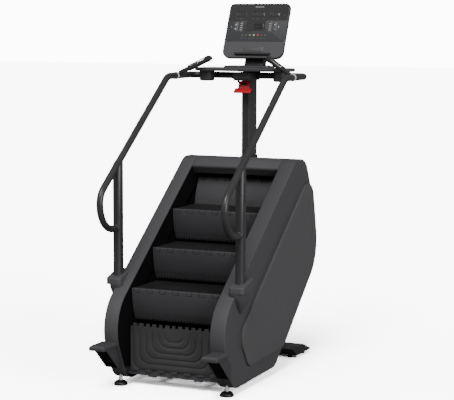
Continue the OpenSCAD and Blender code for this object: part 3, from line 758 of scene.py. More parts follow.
@dataclass
class Stairs:
    """The steps and the kick panel.

    A step's grid runs across the machine and along its profile: up the curved riser, round the
    nose and back over the tread. Its features move the grid along the profile's normal.
    """

    run: float = 0.274
    rise: float = 0.205
    half: float = 0.2848
    nose: tuple[float, float] = (0.057, 0.987)
    tread: float = 0.306
    riser: float = 0.190
    bow: float = 0.480
    wall: float = 0.0066
    attach: tuple[float, float] = (0.150, -0.040)
    chain: float = 0.100
    lead: float = 0.070
    notch_pitch: float = 0.085
    rib_pitch: float = 0.0095
    kick_half: float = 0.2818
    kick_low: float = 0.0925
    kick_high: float = 0.3765
    kick_front: float = -0.5166
    kick_back: float = -0.5092

    def build(self) -> None:
        """Builds the seven steps and the kick panel.

        Four steps stand along the incline, one pitch apart. The next has turned about the lower
        shaft by the rest of a pitch past the lead, and two hang upside down on the way back.
        """
        y, z = self.nose
        slope = math.atan2(self.rise, self.run)
        pitch = math.hypot(self.run, self.rise)
        along = np.array([math.cos(slope), math.sin(slope)])
        square = np.array([math.sin(slope), -math.cos(slope)])
        held = np.array([y - 2 * self.run + self.attach[0], z - 2 * self.rise + self.attach[1]])
        lower = held - along * self.lead + square * self.chain
        places = [((0.437, 1.155), -33.6), ((y, z), 0.0), ((y - self.run, z - self.rise), 0.0),
                  ((y - 2 * self.run, z - 2 * self.rise), 0.0)]
        turn = (pitch - self.lead) / self.chain
        a = slope + math.pi / 2 + turn
        pin = lower + self.chain * np.array([math.cos(a), math.sin(a)])
        places.append((self._nose_at(pin, math.degrees(turn)), math.degrees(turn)))
        for k in (2, 3):
            back = k * pitch - self.lead - math.pi * self.chain
            pin = lower + self.chain * square + along * back
            places.append((self._nose_at(pin, 180.0), 180.0))
        bodies = ["stair_run"] * 4 + ["turning_step"] + ["return_run"] * 2
        for k, ((at, turned_by), body) in enumerate(zip(places, bodies), 1):
            self.step(k, at, turned_by, body)
        self.kick_panel()

    def _nose_at(self, pin: Array, turn: float) -> tuple[float, float]:
        """The nose of a step that hangs from its axle.

        Args:
            pin: the axle's centre, in the side view.
            turn: degrees that the step is turned by.

        Returns:
            The nose's Y and Z.
        """
        t = math.radians(turn)
        a, b = self.attach
        y = pin[0] - a * math.cos(t) + b * math.sin(t)
        z = pin[1] - a * math.sin(t) - b * math.cos(t)
        return y, z

    def _profile(self) -> Array:
        """The step's outer line: a circular riser, a quarter round nose and a level tread.

        Returns:
            The line's points, (n, 2), from the riser's foot to the tread's back.
        """
        a = np.linspace(math.asin(self.riser / self.bow), 0.012, 15)
        riser = np.stack([self.bow - self.bow * np.cos(a), -self.bow * np.sin(a)], 1)
        foot = np.array([self._arc_at(h) for h in (0.1895, 0.184, 0.1782, 0.1778)])
        riser = np.concatenate([foot, riser[3:]])
        marks = np.array([self._arc_at(h) for h in (0.0258, 0.0250, 0.0226, 0.0216)])
        last = [self._arc_at(0.012), self._arc_at(0.006)]
        riser = np.concatenate([riser[riser[:, 1] < -0.028], marks, last])
        t = np.linspace(0, math.pi / 2, 6)
        r = 0.0045
        round_nose = np.stack([r - r * np.cos(t), -r + r * np.sin(t)], 1)
        back = np.array([0.006, 0.0075, 0.0082, 0.0215, 0.0225, 0.06, 0.15, 0.24, 0.29, 0.302, self.tread])
        tread = np.stack([back, np.zeros_like(back)], 1)
        return np.concatenate([riser, round_nose, tread])

    def _arc_at(self, depth: float) -> tuple[float, float]:
        """The riser's point at a depth below the nose: on a circle of radius bow."""
        a = math.asin(depth / self.bow)
        return self.bow - self.bow * math.cos(a), -depth

    def step(self, number: int, at: tuple[float, float], turn: float, body: str) -> None:
        """One step: the moulded tread and riser, its cheeks, brackets and axle.

        Notches: shallow rectangles below and behind the nose, one each notch_pitch. Ribs: low
        ridges that run from front to back over the tread. Comb: slots through the riser's foot.
        Each feature is a hump across the machine times a range of height or depth.

        Args:
            number: which step, from the top.
            at: its nose.
            turn: degrees it is turned by, about X.
            body: the body that it rides on.
        """
        line = self._profile()
        out = outward(line, closed=False)
        out *= np.sign((out * np.array([-1.0, 1.0])).sum(1))[:, None]
        edge = 0.0006
        groove = 0.0030
        notch = self.notch_pitch
        count = int(self.half / notch)
        centres = np.arange(-count, count + 1) * notch
        marks = np.array([-edge, 0, groove, groove + edge]) + 0.0205 - groove
        sides = np.concatenate([np.concatenate([c - marks, c + marks]) for c in centres])
        ribs = np.arange(-29, 30) * self.rib_pitch
        flank = np.concatenate([[c - 0.0030, c - 0.0018, c + 0.0018, c + 0.0030] for c in ribs])
        xs = np.unique(np.round(np.concatenate([sides, flank, [-self.half, self.half]]), 5))
        xs = xs[np.abs(xs) <= self.half]
        height = line[:, 1][:, None]
        depth = line[:, 0][:, None]
        near = np.min(np.abs(xs[None, :] - centres[:, None]), 0)
        in_notch = hump(near, 0.0205, edge)[None, :]
        inside = hump(near, 0.0205 - groove - edge, edge)[None, :]
        front = np.clip((height + 0.0256) / 0.0006, 0, 1) * (depth < 0.0081)
        pocket = np.clip((height + 0.0222) / 0.0006, 0, 1) * (depth < 0.0081)
        sunk = -0.0046 * in_notch * front + 0.0028 * inside * pocket
        rib = np.min(np.abs(xs[None, :] - ribs[:, None]), 0)
        ridge = hump(rib, 0.0018, 0.0012)[None, :] * 0.0014
        lifted = (ridge - 0.0014) * ((depth > 0.0222) & (depth < 0.3015))
        move = sunk + lifted
        outer = line[:, None, :] + out[:, None, :] * move[:, :, None]
        wide = np.broadcast_to(xs[None, :], move.shape)
        under = np.broadcast_to((line - out * self.wall)[:, None, :], outer.shape)
        front_grid = np.stack([wide, outer[..., 0], outer[..., 1]], -1)
        back_grid = np.stack([wide, under[..., 0], under[..., 1]], -1)
        mid_way = (height[:-1] + height[1:]) / 2
        mid_x = (xs[:-1] + xs[1:]) / 2
        combs = np.arange(-14, 15) * 2 * self.rib_pitch
        slot = np.min(np.abs(mid_x[None, :] - combs[:, None]), 0) < 0.0031
        keep = ~((mid_way < -0.1780) & slot[None, :])
        on_tread = (depth[:-1] + depth[1:] > 0.0430) & (mid_way > -0.002) & keep
        points, quads = shell_of(front_grid, back_grid, on_tread)
        # The tread's top takes a darker copy of the step plastic than the riser.
        tread = Piece(f"step_{number}_tread", body, "step_plastic", STEP_DARK_TOP, smooth=30)
        tread.faces(self._set(points, at, turn), quads).finish_up()
        points, quads = shell_of(front_grid, back_grid, keep & ~on_tread)
        piece = Piece(f"step_{number}_moulding", body, "step_plastic", STEP, (f"step_{number}",), smooth=30)
        piece.faces(self._set(points, at, turn), quads)
        inner = [(0.006, -0.006, 0.002), (0.296, -0.006, 0.003), (0.296, -0.018, 0.003), (0.16, -0.062, 0.02),
                 (0.046, -0.150, 0.01), (0.030, -0.150, 0.003)]
        hanger = [(0.110, -0.006, 0.001), (0.190, -0.006, 0.001), (0.162, -0.052, 0.006),
                  (0.138, -0.052, 0.006)]
        for s in (-1, 1):
            rings = plate_rings(trace(inner, 0.02), self.half - 0.006, self.half - 0.0005, 0.0008, 0.0008, 2)
            rings = rings[..., [2, 0, 1]] * np.array([s, 1, 1])
            piece.grid(self._set(rings, at, turn), cap_first=True, cap_last=True)
            rings = plate_rings(trace(hanger, 0.02), 0.200, 0.208, 0.0008, 0.0008, 2)[..., [2, 0, 1]]
            piece.grid(self._set(rings * np.array([s, 1, 1]), at, turn), cap_first=True, cap_last=True)
        piece.finish_up()
        ends = np.array([[-0.314, *self.attach], [-0.3128, *self.attach], [0.3128, *self.attach],
                         [0.314, *self.attach]])
        rod = tube_rings(ends, [0.0058, 0.007, 0.007, 0.0058], 24)
        axle = Piece(f"step_{number}_axle", body, "machined_steel", STEEL)
        axle.grid(self._set(rod, at, turn), cap_first=True, cap_last=True).finish_up()

    @staticmethod
    def _set(p: Array, at: tuple[float, float], turn: float) -> Array:
        """Points (..., 3) of a step's own frame, turned about X by degrees and moved to its nose."""
        c, s = math.cos(math.radians(turn)), math.sin(math.radians(turn))
        return place(p, (0, *at), (1, 0, 0), (0, c, s), (0, -s, c))

    def kick_panel(self) -> None:
        """The panel under the last step: nested round-cornered U grooves, a comb and tabs.

        A groove's depth falls with the distance to its U: that of a box with round corners, which
        is open at the top. The comb is pairs of round slots along the top, and every second
        stretch of the bottom edge is cut away.
        """
        half, cell, deepest = self.kick_half, 0.0022, 0.0056
        tall = self.kick_high - self.kick_low
        xs = np.linspace(-half, half, int(2 * half / cell) + 1)
        zs = np.linspace(self.kick_low, self.kick_high, int(tall / cell) + 1)
        x, z = np.meshgrid(xs, zs)
        sunk = np.zeros_like(x)
        for k in range(6):
            wide, floor = 0.262 - 0.042 * k, 0.110 + 0.035 * k
            r = min(0.055, wide * 0.6)
            dx, dz = np.abs(x) - (wide - r), (floor + r) - z
            away = np.hypot(np.maximum(dx, 0), np.maximum(dz, 0)) + np.minimum(np.maximum(dx, dz), 0) - r
            fade = np.clip((0.345 - z) / 0.05, 0, 1)
            sunk += 0.0050 * np.clip(1 - away / 0.022, 0, 1) * np.clip(away / cell, 0, 1) * fade
        xm, zm = (xs[:-1] + xs[1:]) / 2, (zs[:-1] + zs[1:]) / 2
        pitch = 0.0845
        pair = np.abs(np.abs((xm + pitch / 2) % pitch - pitch / 2) - 0.0195)
        wide = 0.0098
        comb = zm[:, None] > 0.3660 - np.sqrt(np.maximum(0, wide ** 2 - pair ** 2))[None, :]
        comb &= (pair < wide)[None, :]
        between = np.abs(((xm + pitch) % pitch) - pitch / 2) < pitch / 4
        tabs = between[None, :] & (zm < 0.104)[:, None]
        keep = ~(comb | tabs)
        front_grid = np.stack([x, self.kick_front + np.minimum(sunk, deepest), z], -1)
        back_grid = np.stack([x, np.full_like(x, self.kick_back), z], -1)
        points, quads = shell_of(front_grid, back_grid, keep)
        piece = Piece("kick_panel_moulding", "frame", "step_plastic", KICK, ("kick_panel",), smooth=50)
        piece.faces(points, quads).finish_up()


# ---------------------------------------------------------------- rails


@dataclass
class Rails:
    """Posts, handrails, rings, crossbar and the heart-rate grips."""

    x: float = 0.395
    z: float = 1.797
    r: float = 0.0205
    post_y: float = -0.451
    post_w: float = 0.054
    post_d: float = 0.068
    slope: float = 36.5
    level_y: float = 0.212
    bow_y: float = -0.675
    bow_z: float = 0.925
    ring_y: float = 0.327
    cross_y: float = 0.560
    root: Corner = (0.374, 0.334, 1.813)
    tip: Corner = (0.196, 0.414, 1.910)

    def line(self, y: float | Array) -> float | Array:
        """Height of the sloping rail's centre at y."""
        return self.z + (y - self.level_y) * math.tan(math.radians(self.slope))

    def build(self) -> None:
        """Builds both sides and the crossbar."""
        for side in Side:
            self.post(side)
            self.handrail(side)
            self.grip(side)
        self.rings()
        self.crossbar()

    def post(self, side: Side) -> None:
        """A post of round-ended section, whose top follows the rail that it is welded to.

        Args:
            side: which side of the machine it is on.
        """
        w, d = self.post_w / 2, self.post_d / 2
        a = np.linspace(0, 2 * math.pi, 64, endpoint=False)
        flat = d - w
        ring = np.stack([w * np.cos(a), w * np.sin(a) + flat * np.sign(np.sin(a) + 1e-9)], 1)
        y = self.post_y + ring[:, 1]
        x = side.value * self.x + ring[:, 0]
        top = self.line(y) + 0.003
        heights = [np.full_like(y, 0.600), np.full_like(y, 1.0), top - 0.001]
        rings = [np.stack([x, y, h], 1) for h in heights]
        inner = ring * 0.985
        rings.append(np.stack([side.value * self.x + inner[:, 0], self.post_y + inner[:, 1], top], 1))
        piece = Piece(f"post_tube_{side.word}", "frame", "rail_paint", RAIL, (f"post_{side.word}",))
        piece.grid(np.array(rings), cap_first=True, cap_last=True).finish_up()

    def handrail(self, side: Side) -> None:
        """One bent tube from the post's front, round the bow and up to the ring, and its weld.

        Args:
            side: which side of the machine it is on.
        """
        start = self.post_y - self.post_d / 2 + 0.004
        line = trace([(start, self.bow_z), (self.bow_y, self.bow_z, 0.162),
                      (self.bow_y, self.line(self.bow_y), 0.110), (self.level_y, self.z, 0.090),
                      (self.ring_y, self.z)], 0.03, closed=False)
        path = np.column_stack([np.full(len(line), side.value * self.x), line])
        piece = Piece(f"handrail_tube_{side.word}", "frame", "rail_paint", RAIL, (f"handrail_{side.word}",))
        piece.grid(tube_rings(path, self.r, 48), cap_first=True, cap_last=True)
        bead = np.array([[side.value * self.x, self.post_y - self.post_d / 2 + t, self.bow_z]
                         for t in (-0.0060, -0.0048, -0.0022, 0.0012, 0.004)])
        radii = [0.0204, 0.0222, 0.0240, 0.0252, 0.0256]
        piece.grid(tube_rings(bead, radii, 48), cap_first=True, cap_last=True)
        piece.finish_up()

    def rings(self) -> None:
        """A bright ring over each joint between handrail and crossbar."""
        half, r = 0.007, self.r + 0.003
        profile = [(-half, self.r), (-half, r - 0.001), (-half + 0.0003, r - 0.0003),
                   (-half + 0.001, r), (half - 0.001, r), (half - 0.0003, r - 0.0003),
                   (half, r - 0.001), (half, self.r)]
        piece = Piece("rail_ring_pair", "frame", "ring", ZINC, ("rail_rings",))
        for side in Side:
            path = np.array([[side.value * self.x, self.ring_y + t, self.z] for t, _ in profile])
            a = np.linspace(0, 2 * math.pi, 56, endpoint=False)
            radii = np.array([q for _, q in profile])[:, None]
            rings = np.stack([path[:, :1] + radii * np.cos(a), np.repeat(path[:, 1:2], len(a), 1),
                              path[:, 2:] + radii * np.sin(a)], -1)
            piece.grid(np.concatenate([rings, rings[:1]]))
        piece.finish_up()

    def crossbar(self) -> None:
        """The U-shaped bar round the back of the tray."""
        corner = 0.060
        line = trace([(self.x, self.ring_y), (self.x, self.cross_y, corner),
                      (-self.x, self.cross_y, corner), (-self.x, self.ring_y)], 0.03, closed=False)
        path = np.column_stack([line, np.full(len(line), self.z)])
        piece = Piece("crossbar_tube", "frame", "rail_paint", RAIL, ("crossbar",))
        piece.grid(tube_rings(path, self.r, 48), cap_first=True, cap_last=True).finish_up()

    def grip(self, side: Side) -> None:
        """A heart-rate grip: ribbed neck, stepped body, drooping cap and two bright sensor strips.

        The path is straight for most of the way from root to tip and then drops in a round. The
        radius follows the way along it: a square wave on the neck, steps on the body, and a
        flattened ellipse at the cap.

        Args:
            side: which side of the machine it is on.
        """
        flip = np.array([side.value, 1, 1])
        root, tip = np.array(self.root) * flip, np.array(self.tip) * flip
        along = unit(tip - root)
        length = float(np.linalg.norm(tip - root))
        down = unit(np.array([0, 0, -1.0]) - along * -along[2])
        t = np.concatenate([np.linspace(0, 0.30, 34), np.linspace(0.305, 0.90, 12)])
        straight = root + along * (t * length)[:, None]
        drop = np.linspace(0, 1, 14)[1:]
        turn_r = 0.024
        start = root + along * 0.90 * length
        curve = start + along * (turn_r * np.sin(drop * 1.25))[:, None] + down * (
            turn_r * (1 - np.cos(drop * 1.25)))[:, None]
        path = np.concatenate([straight, curve])
        neck = 0.0134 + 0.0010 * (np.sin(t * length / 0.0062 * 2 * math.pi) > 0)
        body = np.where(t < 0.30, neck, 0.0189)
        body = np.where((t > 0.30) & (t < 0.335), 0.0200, body)
        body = np.where(t > 0.855, 0.0204, body)
        cap = 0.0208 * np.sqrt(np.maximum(1 - ((drop - 0.05) / 0.96) ** 4, 0.0025))
        piece = Piece(f"grip_moulding_{side.word}", "frame", "grip_rubber", RUBBER, (f"grip_{side.word}",))
        piece.grid(tube_rings(path, np.concatenate([body, cap]), 40), cap_first=True, cap_last=True)
        piece.finish_up()
        up = -down
        across = np.cross(along, up)
        strips = Piece(f"sensor_strips_{side.word}", "frame", "sensor_chrome", CHROME,
                       ("sensor_plates",) if side is Side.RIGHT else ())
        toward = np.radians(-26.0 * np.sign(across[1]))
        for centre in (toward - 0.36, toward + 0.36):
            a = np.linspace(-0.21, 0.21, 8)
            outer = [(centre + q, 0.0200) for q in a]
            inner = [(centre + q, 0.0180) for q in a[::-1]]
            ring = np.array([r * (math.cos(q) * up + math.sin(q) * across) for q, r in outer + inner])
            ends = np.array([0.37, 0.375, 0.80, 0.805]) * length
            shrink = np.array([0.985, 1.0, 1.0, 0.985])
            grid = root + along * ends[:, None, None] + ring[None] * shrink[:, None, None]
            strips.grid(grid, cap_first=True, cap_last=True)
        strips.finish_up()


# ---------------------------------------------------------------- mast and console


@dataclass
class Upper:
    """Mast, tray, stop lever, neck and console."""

    mast_w: float = 0.052
    mast_d: float = 0.130
    mast_y: float = 0.580
    tray_low: float = 1.818
    tray_high: float = 1.846
    tray_y: float = 0.506
    cup: Corner = (0.253, 0.487, 0.045)
    console_w: float = 0.418
    console_h: float = 0.374
    lean: float = 23.0
    foot: tuple[float, float] = (0.607, 1.907)

    def build(self) -> None:
        """Builds everything above the rails' level and the mast."""
        self.mast()
        self.tray()
        self.bracket()
        self.lever()
        self.neck()
        self.housing()
        self.face()

    def mast(self) -> None:
        """A rectangular tube with rolled corners."""
        line = rounded_rect(self.mast_w, self.mast_d, 0.006, 0.02) + np.array([0, self.mast_y])
        piece = Piece("mast_tube", "frame", "rail_paint", RAIL, ("mast",))
        piece.grid(plate_rings(line, 1.139, 1.766, 0, 0), cap_first=True, cap_last=True).finish_up()

    def tray(self) -> None:
        """The thin tray with rolled rims, its raised base, and two cups under round holes.

        The top is one flat outline with two round holes, filled and rolled at its rims; each
        cup is turned.
        """
        flat = bpy.data.curves.new("tray_outline", "CURVE")
        flat.dimensions, flat.fill_mode = "2D", "BOTH"
        roll = 0.005
        flat.extrude = (self.tray_high - self.tray_low) / 2 - roll - 0.004
        flat.bevel_depth, flat.bevel_resolution = roll, 3
        outer = trace([(-0.326, -0.100, 0.070), (-0.326, 0.110, 0.090), (0.326, 0.110, 0.090),
                       (0.326, -0.100, 0.070)], 0.012)
        outer = outer - outward(outer) * roll
        a = np.linspace(0, 2 * math.pi, 64, endpoint=False)
        cx, cy, r = self.cup
        hole = (r + roll) * np.stack([np.cos(a), np.sin(a)], 1)
        loops = [outer, *(hole + np.array([s * cx, cy - self.tray_y]) for s in (-1, 1))]
        for loop in loops:
            spline = flat.splines.new("POLY")
            spline.points.add(len(loop) - 1)
            flat_points = np.column_stack([loop, np.zeros(len(loop)), np.ones(len(loop))])
            spline.points.foreach_set("co", flat_points.ravel())
            spline.use_cyclic_u = True
        holder = bpy.data.objects.new("tray_outline", flat)
        bpy.context.scene.collection.objects.link(holder)
        shaped = holder.evaluated_get(bpy.context.evaluated_depsgraph_get()).to_mesh()
        n = len(shaped.vertices)
        co = np.zeros(n * 3, np.float32)
        shaped.vertices.foreach_get("co", co)
        middle = self.tray_high - flat.extrude - roll
        points = co.reshape(-1, 3).astype(float) + np.array([0, self.tray_y, middle])
        piece = Piece("tray_moulding", "frame", "tray_plastic", SHELL, ("tray",))
        piece.caps += [[v + piece.count for v in p.vertices] for p in shaped.polygons]
        piece.points.append(points)
        piece.count += n
        bpy.data.objects.remove(holder)
        base = rounded_rect(0.302, 0.128, 0.012) + np.array([0, 0.576])
        piece.grid(plate_rings(base, self.tray_high - 0.002, 1.8578, 0, 0.003),
                   cap_first=True, cap_last=True)
        tongue = rounded_rect(0.180, 0.112, 0.010) + np.array([0, 0.656])
        piece.grid(plate_rings(tongue, self.tray_low + 0.0005, 1.8576, 0.003, 0.003),
                   cap_first=True, cap_last=True)
        line = rounded_rect(0.560, 0.0035, 0.0017, 0.02) + np.array([0, 0.500])
        piece.grid(plate_rings(line, self.tray_high - 0.001, self.tray_high + 0.0008, 0, 0.0006, 2),
                   cap_first=True, cap_last=True)
        for s in (-1, 1):
            wall = [(0.0, 1.7622), (0.038, 1.7622), (0.043, 1.7637), (0.0462, 1.768), (0.0473, 1.774),
                    (0.0475, 1.8232), (0.0454, 1.8250), (0.0450, 1.8232), (0.0448, 1.774), (0.0438, 1.769),
                    (0.040, 1.7655), (0.0, 1.7655)]
            piece.grid(turned(wall, (s * cx, cy, 0)))
        piece.finish_up()

    def bracket(self) -> None:
        """The box under the tray, with its lower edges cut back, and the lever's two ears."""
        line = rounded_rect(0.120, 0.190, 0.014, 0.02) + np.array([0, 0.537])
        out = outward(line)
        rings = []
        for inset, z in ((0.013, 1.7664), (0.0115, 1.7672), (0.001, 1.778), (0.0, 1.780), (0.0, 1.8178)):
            rings.append(np.column_stack([line - out * inset, np.full(len(line), z)]))
        piece = Piece("tray_bracket_box", "frame", "tray_plastic", COVER, ("tray_bracket",))
        piece.grid(np.array(rings), cap_first=True, cap_last=True)
        for s in (-1, 1):
            ear = trace([(0.494, 1.768, 0.001), (0.516, 1.768, 0.001), (0.516, 1.750, 0.008),
                         (0.494, 1.750, 0.008)], 0.01)
            rings = plate_rings(ear, 0.040, 0.046, 0.0006, 0.0006, 2)[..., [2, 0, 1]] * np.array([s, 1, 1])
            piece.grid(rings, cap_first=True, cap_last=True)
        piece.finish_up()

    def lever(self) -> None:
        """The stop lever: an upper arm with a dark window, and a wide lip for the fingers."""
        piece = Piece("stop_lever_moulding", "lever", "lever_red", LEVER, ("stop_lever",), smooth=30)
        arm = [(-0.037, 0.0, 0.004), (-0.037, 0.050, 0.004), (0.037, 0.050, 0.004), (0.037, 0.0, 0.004)]
        down = unit(np.array([-0.018, -0.042]))
        thick = np.array([down[1], -down[0]])
        rings = plate_rings(trace(arm, 0.02), -0.0028, 0.0028, 0.0012, 0.0012, 3)
        rings = place(rings, (0, 0.5025, 1.7585), (1, 0, 0), (0, *down), (0, *thick))
        piece.grid(rings, cap_first=True, cap_last=True)
        lip_down = unit(np.array([-0.033, -0.027]))
        lip_thick = np.array([lip_down[1], -lip_down[0]])
        lip = [(-0.058, 0.0, 0.004), (-0.058, 0.042, 0.011), (0.058, 0.042, 0.011), (0.058, 0.0, 0.004)]
        rings = plate_rings(trace(lip, 0.02), -0.0032, 0.0032, 0.0015, 0.0015, 3)
        rings = place(rings, (0, 0.4868, 1.7165), (1, 0, 0), (0, *lip_down), (0, *lip_thick))
        piece.grid(rings, cap_first=True, cap_last=True)
        barrel = np.array([[x, 0.505, 1.757] for x in (-0.0385, -0.0375, 0.0375, 0.0385)])
        piece.grid(tube_rings(barrel, [0.0048, 0.0058, 0.0058, 0.0048], 28), cap_first=True, cap_last=True)
        piece.finish_up()
        window = Piece("stop_lever_window", "lever", "neck_black", BLACK)
        hole = [(-0.020, 0.010, 0.003), (-0.022, 0.024, 0.003), (0.022, 0.024, 0.003), (0.020, 0.010, 0.003)]
        rings = plate_rings(trace(hole, 0.02), -0.0034, 0.0034, 0.0005, 0.0005, 2)
        rings = place(rings, (0, 0.5025, 1.7585), (1, 0, 0), (0, *down), (0, *thick))
        window.grid(rings, cap_first=True, cap_last=True).finish_up()

    def at(self, p: Array) -> Array:
        """Points of the face's own frame: across, up along it, and out towards the climber."""
        c, s = math.cos(math.radians(self.lean)), math.sin(math.radians(self.lean))
        return place(p, (0, *self.foot), (1, 0, 0), (0, s, c), (0, -c, s))

    def neck(self) -> None:
        """The black neck between the tray's tongue and the console's back."""
        c, s = math.cos(math.radians(self.lean)), math.sin(math.radians(self.lean))
        back = np.array(self.foot) + 0.049 * np.array([c, -s])
        up = np.array([s, c])
        line = trace([(0.640, 1.857, 0.002), (0.700, 1.857, 0.002), (0.784, 2.046, 0.03),
                      (*(back + up * 0.188), 0.004), (*(back + up * 0.001), 0.004)], 0.01)
        rings = plate_rings(line, -0.064, 0.064, 0.003, 0.003)[..., [2, 0, 1]]
        piece = Piece("console_neck_casting", "frame", "neck_black", BLACK, ("console_neck",))
        piece.grid(rings, cap_first=True, cap_last=True).finish_up()

    def _outline(self) -> Array:
        """The console's outline on its face."""
        w, h = self.console_w / 2, self.console_h
        return trace([(-w, 0, 0.048), (-w, h, 0.030), (w, h, 0.030), (w, 0, 0.048)], 0.008)

    def housing(self) -> None:
        """The console's shell: a bowl at the back, a fine rolled rim and a face just inside it.

        Every ring is the outline moved in along its normals. The phone's ledge goes on the face: a black
        piece that paints the shade of its recess.
        """
        line = self._outline()
        out = outward(line)
        section = [(0.046, -0.0498)]
        a = np.linspace(0, math.pi / 2, 9)
        section += [(0.030 * (1 - math.sin(t)), -0.0200 - 0.0298 * math.cos(t)) for t in a]
        section += [(0.0, -0.006), (0.0008, -0.0024), (0.0022, -0.0012), (0.0034, -0.0014),
                    (0.0042, -0.0034), (0.0048, -0.0040)]
        rings = np.array([np.column_stack([line - out * d, np.full(len(line), h)]) for d, h in section])
        piece = Piece("console_shell", "frame", "console_shell", SHELL, ("console_housing",))
        piece.grid(self.at(rings), cap_first=True, cap_last=True)
        piece.finish_up()
        # The ledge is a black piece that paints the shade of the recess it sits in.
        ledge = Piece("phone_ledge_painted_shade", "frame", "neck_black", BLACK)
        line = trace([(-0.118, 0.020, 0.004), (-0.126, 0.034, 0.003), (0.126, 0.034, 0.003),
                      (0.118, 0.020, 0.004)], 0.01)
        ledge.grid(self.at(plate_rings(line, -0.006, 0.0105, 0, 0.0015)), cap_first=True, cap_last=True)
        ledge.finish_up()

    def _mark(self, u: float, v: float) -> tuple[float, float]:
        """A place on the face: u across from the left, v down from the top, both from 0 to 1."""
        return (u - 0.5) * self.console_w, (1 - v) * self.console_h

    def _patch(self, piece: Piece, u: float, v: float, w: float, h: float, low: float, high: float,
               r: float = 0.0012) -> None:
        """Adds a small rounded plate on the face.

        Args:
            piece: the piece that it joins.
            u, v: its middle, as `_mark` reads them.
            w, h: its size.
            low, high: its foot and its face, out from the face's frame.
            r: radius of its corners.
        """
        x, y = self._mark(u, v)
        rim = min((high - low) * 0.5, 0.0006)
        line = rounded_rect(w, h, min(r, w * 0.49, h * 0.49), 0.004) + np.array([x, y])
        piece.grid(self.at(plate_rings(line, low, high, 0, rim, 2)), cap_first=True, cap_last=True)

    def face(self) -> None:
        """The face's film, its T-shaped glass, windows, keys and marks, all blank of words."""
        film_high, glass_high, margin = -0.0030, -0.0022, 0.0052
        w, top = self.console_w / 2 - margin, self.console_h - margin
        low = self.console_h * (1 - 0.70)
        line = trace([(-w, low, 0.003), (-w, top, 0.025), (w, top, 0.025), (w, low, 0.003)], 0.008)
        film = Piece("keypad_film", "frame", "console_glass", KEYPAD, ("console_face",))
        film.grid(self.at(plate_rings(line, -0.006, film_high, 0, 0.0003, 2)), cap_first=True, cap_last=True)
        film.finish_up()
        edge, stem_l = self.console_h * (1 - 0.31), (0.33 - 0.5) * self.console_w
        stem_r, stem_low = (0.645 - 0.5) * self.console_w, self.console_h * (1 - 0.505)
        wide, high = w - 0.001, top - 0.001
        line = trace([(-wide, edge, 0.002), (-wide, high, 0.024), (wide, high, 0.024), (wide, edge, 0.002),
                      (stem_r, edge, 0.002), (stem_r, stem_low, 0.004), (stem_l, stem_low, 0.004),
                      (stem_l, edge, 0.002)], 0.008)
        glass = Piece("display_glass", "frame", "console_glass", GLASS)
        glass.grid(self.at(plate_rings(line, film_high - 0.001, glass_high, 0, 0.0002, 1)),
                   cap_first=True, cap_last=True)
        glass.finish_up()
        window = Piece("display_windows", "frame", "console_glass", WINDOW)
        for u, v, width, tall in ((0.215, 0.195, 0.068, 0.032), (0.49, 0.195, 0.092, 0.032),
                                  (0.76, 0.195, 0.074, 0.032), (0.53, 0.425, 0.066, 0.036)):
            self._patch(window, u, v, width, tall, glass_high - 0.0004, glass_high + 0.00012)
        window.finish_up()
        digits = Piece("display_segments", "frame", "console_glass", FAINT)
        bars = [(0, row * 0.032, 0.008, 0.0011) for row in (-1, 0, 1)]
        bars += [(s * 0.0115, row * 0.016, 0.0011, 0.0085) for row in (-1, 1) for s in (-1, 1)]
        for u0, count in ((0.150, 4), (0.405, 5), (0.695, 4)):
            for k in range(count):
                for du, dv, sw, sh in bars:
                    self._patch(digits, u0 + k * 0.043 + du, 0.195 + dv, sw, sh, glass_high - 0.0002,
                                glass_high + 0.00022, 0.0004)
        digits.finish_up()
        self.keys(film_high, glass_high)
        plate = Piece("face_badge", "frame", "console_shell", SHELL)
        line = trace([(-0.071, 0.040, 0.006), (-0.066, 0.075, 0.006), (0.066, 0.075, 0.006),
                      (0.071, 0.040, 0.006)], 0.01)
        plate.grid(self.at(plate_rings(line, -0.005, -0.0035, 0, 0.0004, 2)), cap_first=True, cap_last=True)
        self._patch(plate, 0.5, 0.842, 0.007, 0.007, -0.0045, -0.0031, 0.0034)
        plate.finish_up()

    def keys(self, film: float, glass: float) -> None:
        """The membrane keys and their marks, grouped by ink.

        Args:
            film: height of the keypad film over the face's frame.
            glass: height of the glass.
        """
        wells = Piece("key_wells", "frame", "console_shell", SHELL)
        for u, w, h in ((0.152, 0.032, 0.066), (0.237, 0.028, 0.074), (0.713, 0.028, 0.074),
                        (0.795, 0.032, 0.066)):
            self._patch(wells, u, 0.432, w, h, film - 0.0008, film + 0.0003, 0.004)
        wells.finish_up()
        white = Piece("key_marks_white", "frame", "console_glass", INK)
        lift = film + 0.0004
        for u, v, w, h in ((0.152, 0.392, 0.009, 0.0075), (0.152, 0.472, 0.009, 0.0075),
                           (0.795, 0.392, 0.008, 0.008), (0.795, 0.472, 0.009, 0.0022),
                           (0.475, 0.582, 0.010, 0.010), (0.862, 0.432, 0.005, 0.013)):
            self._patch(white, u, v, w, h, film - 0.0005, lift + 0.0002, 0.002)
        for v in (0.372, 0.410, 0.450, 0.490):
            for u in (0.237, 0.713):
                self._patch(white, u, v, 0.0095, 0.0034, film - 0.0005, lift + 0.0002, 0.001)
        for u in (0.445, 0.482, 0.519, 0.556):
            self._patch(white, u, 0.066, 0.0125, 0.0038, glass - 0.0002, glass + 0.0002, 0.0018)
        white.finish_up()
        faint = Piece("key_marks_grey", "frame", "console_glass", FAINT)
        for u in (0.285, 0.345, 0.600, 0.660):
            self._patch(faint, u, 0.585, 0.0075, 0.0075, film - 0.0005, lift, 0.003)
        for u in (0.280, 0.345, 0.410, 0.475, 0.540, 0.600, 0.660):
            self._patch(faint, u, 0.640, 0.0155, 0.0018, film - 0.0005, film + 0.0002, 0.0006)
        for u, w in ((0.145, 0.010), (0.215, 0.018), (0.42, 0.012), (0.50, 0.014), (0.585, 0.012),
                     (0.735, 0.010), (0.815, 0.022)):
            self._patch(faint, u, 0.285, w, 0.0018, glass - 0.0002, glass + 0.0002, 0.0006)
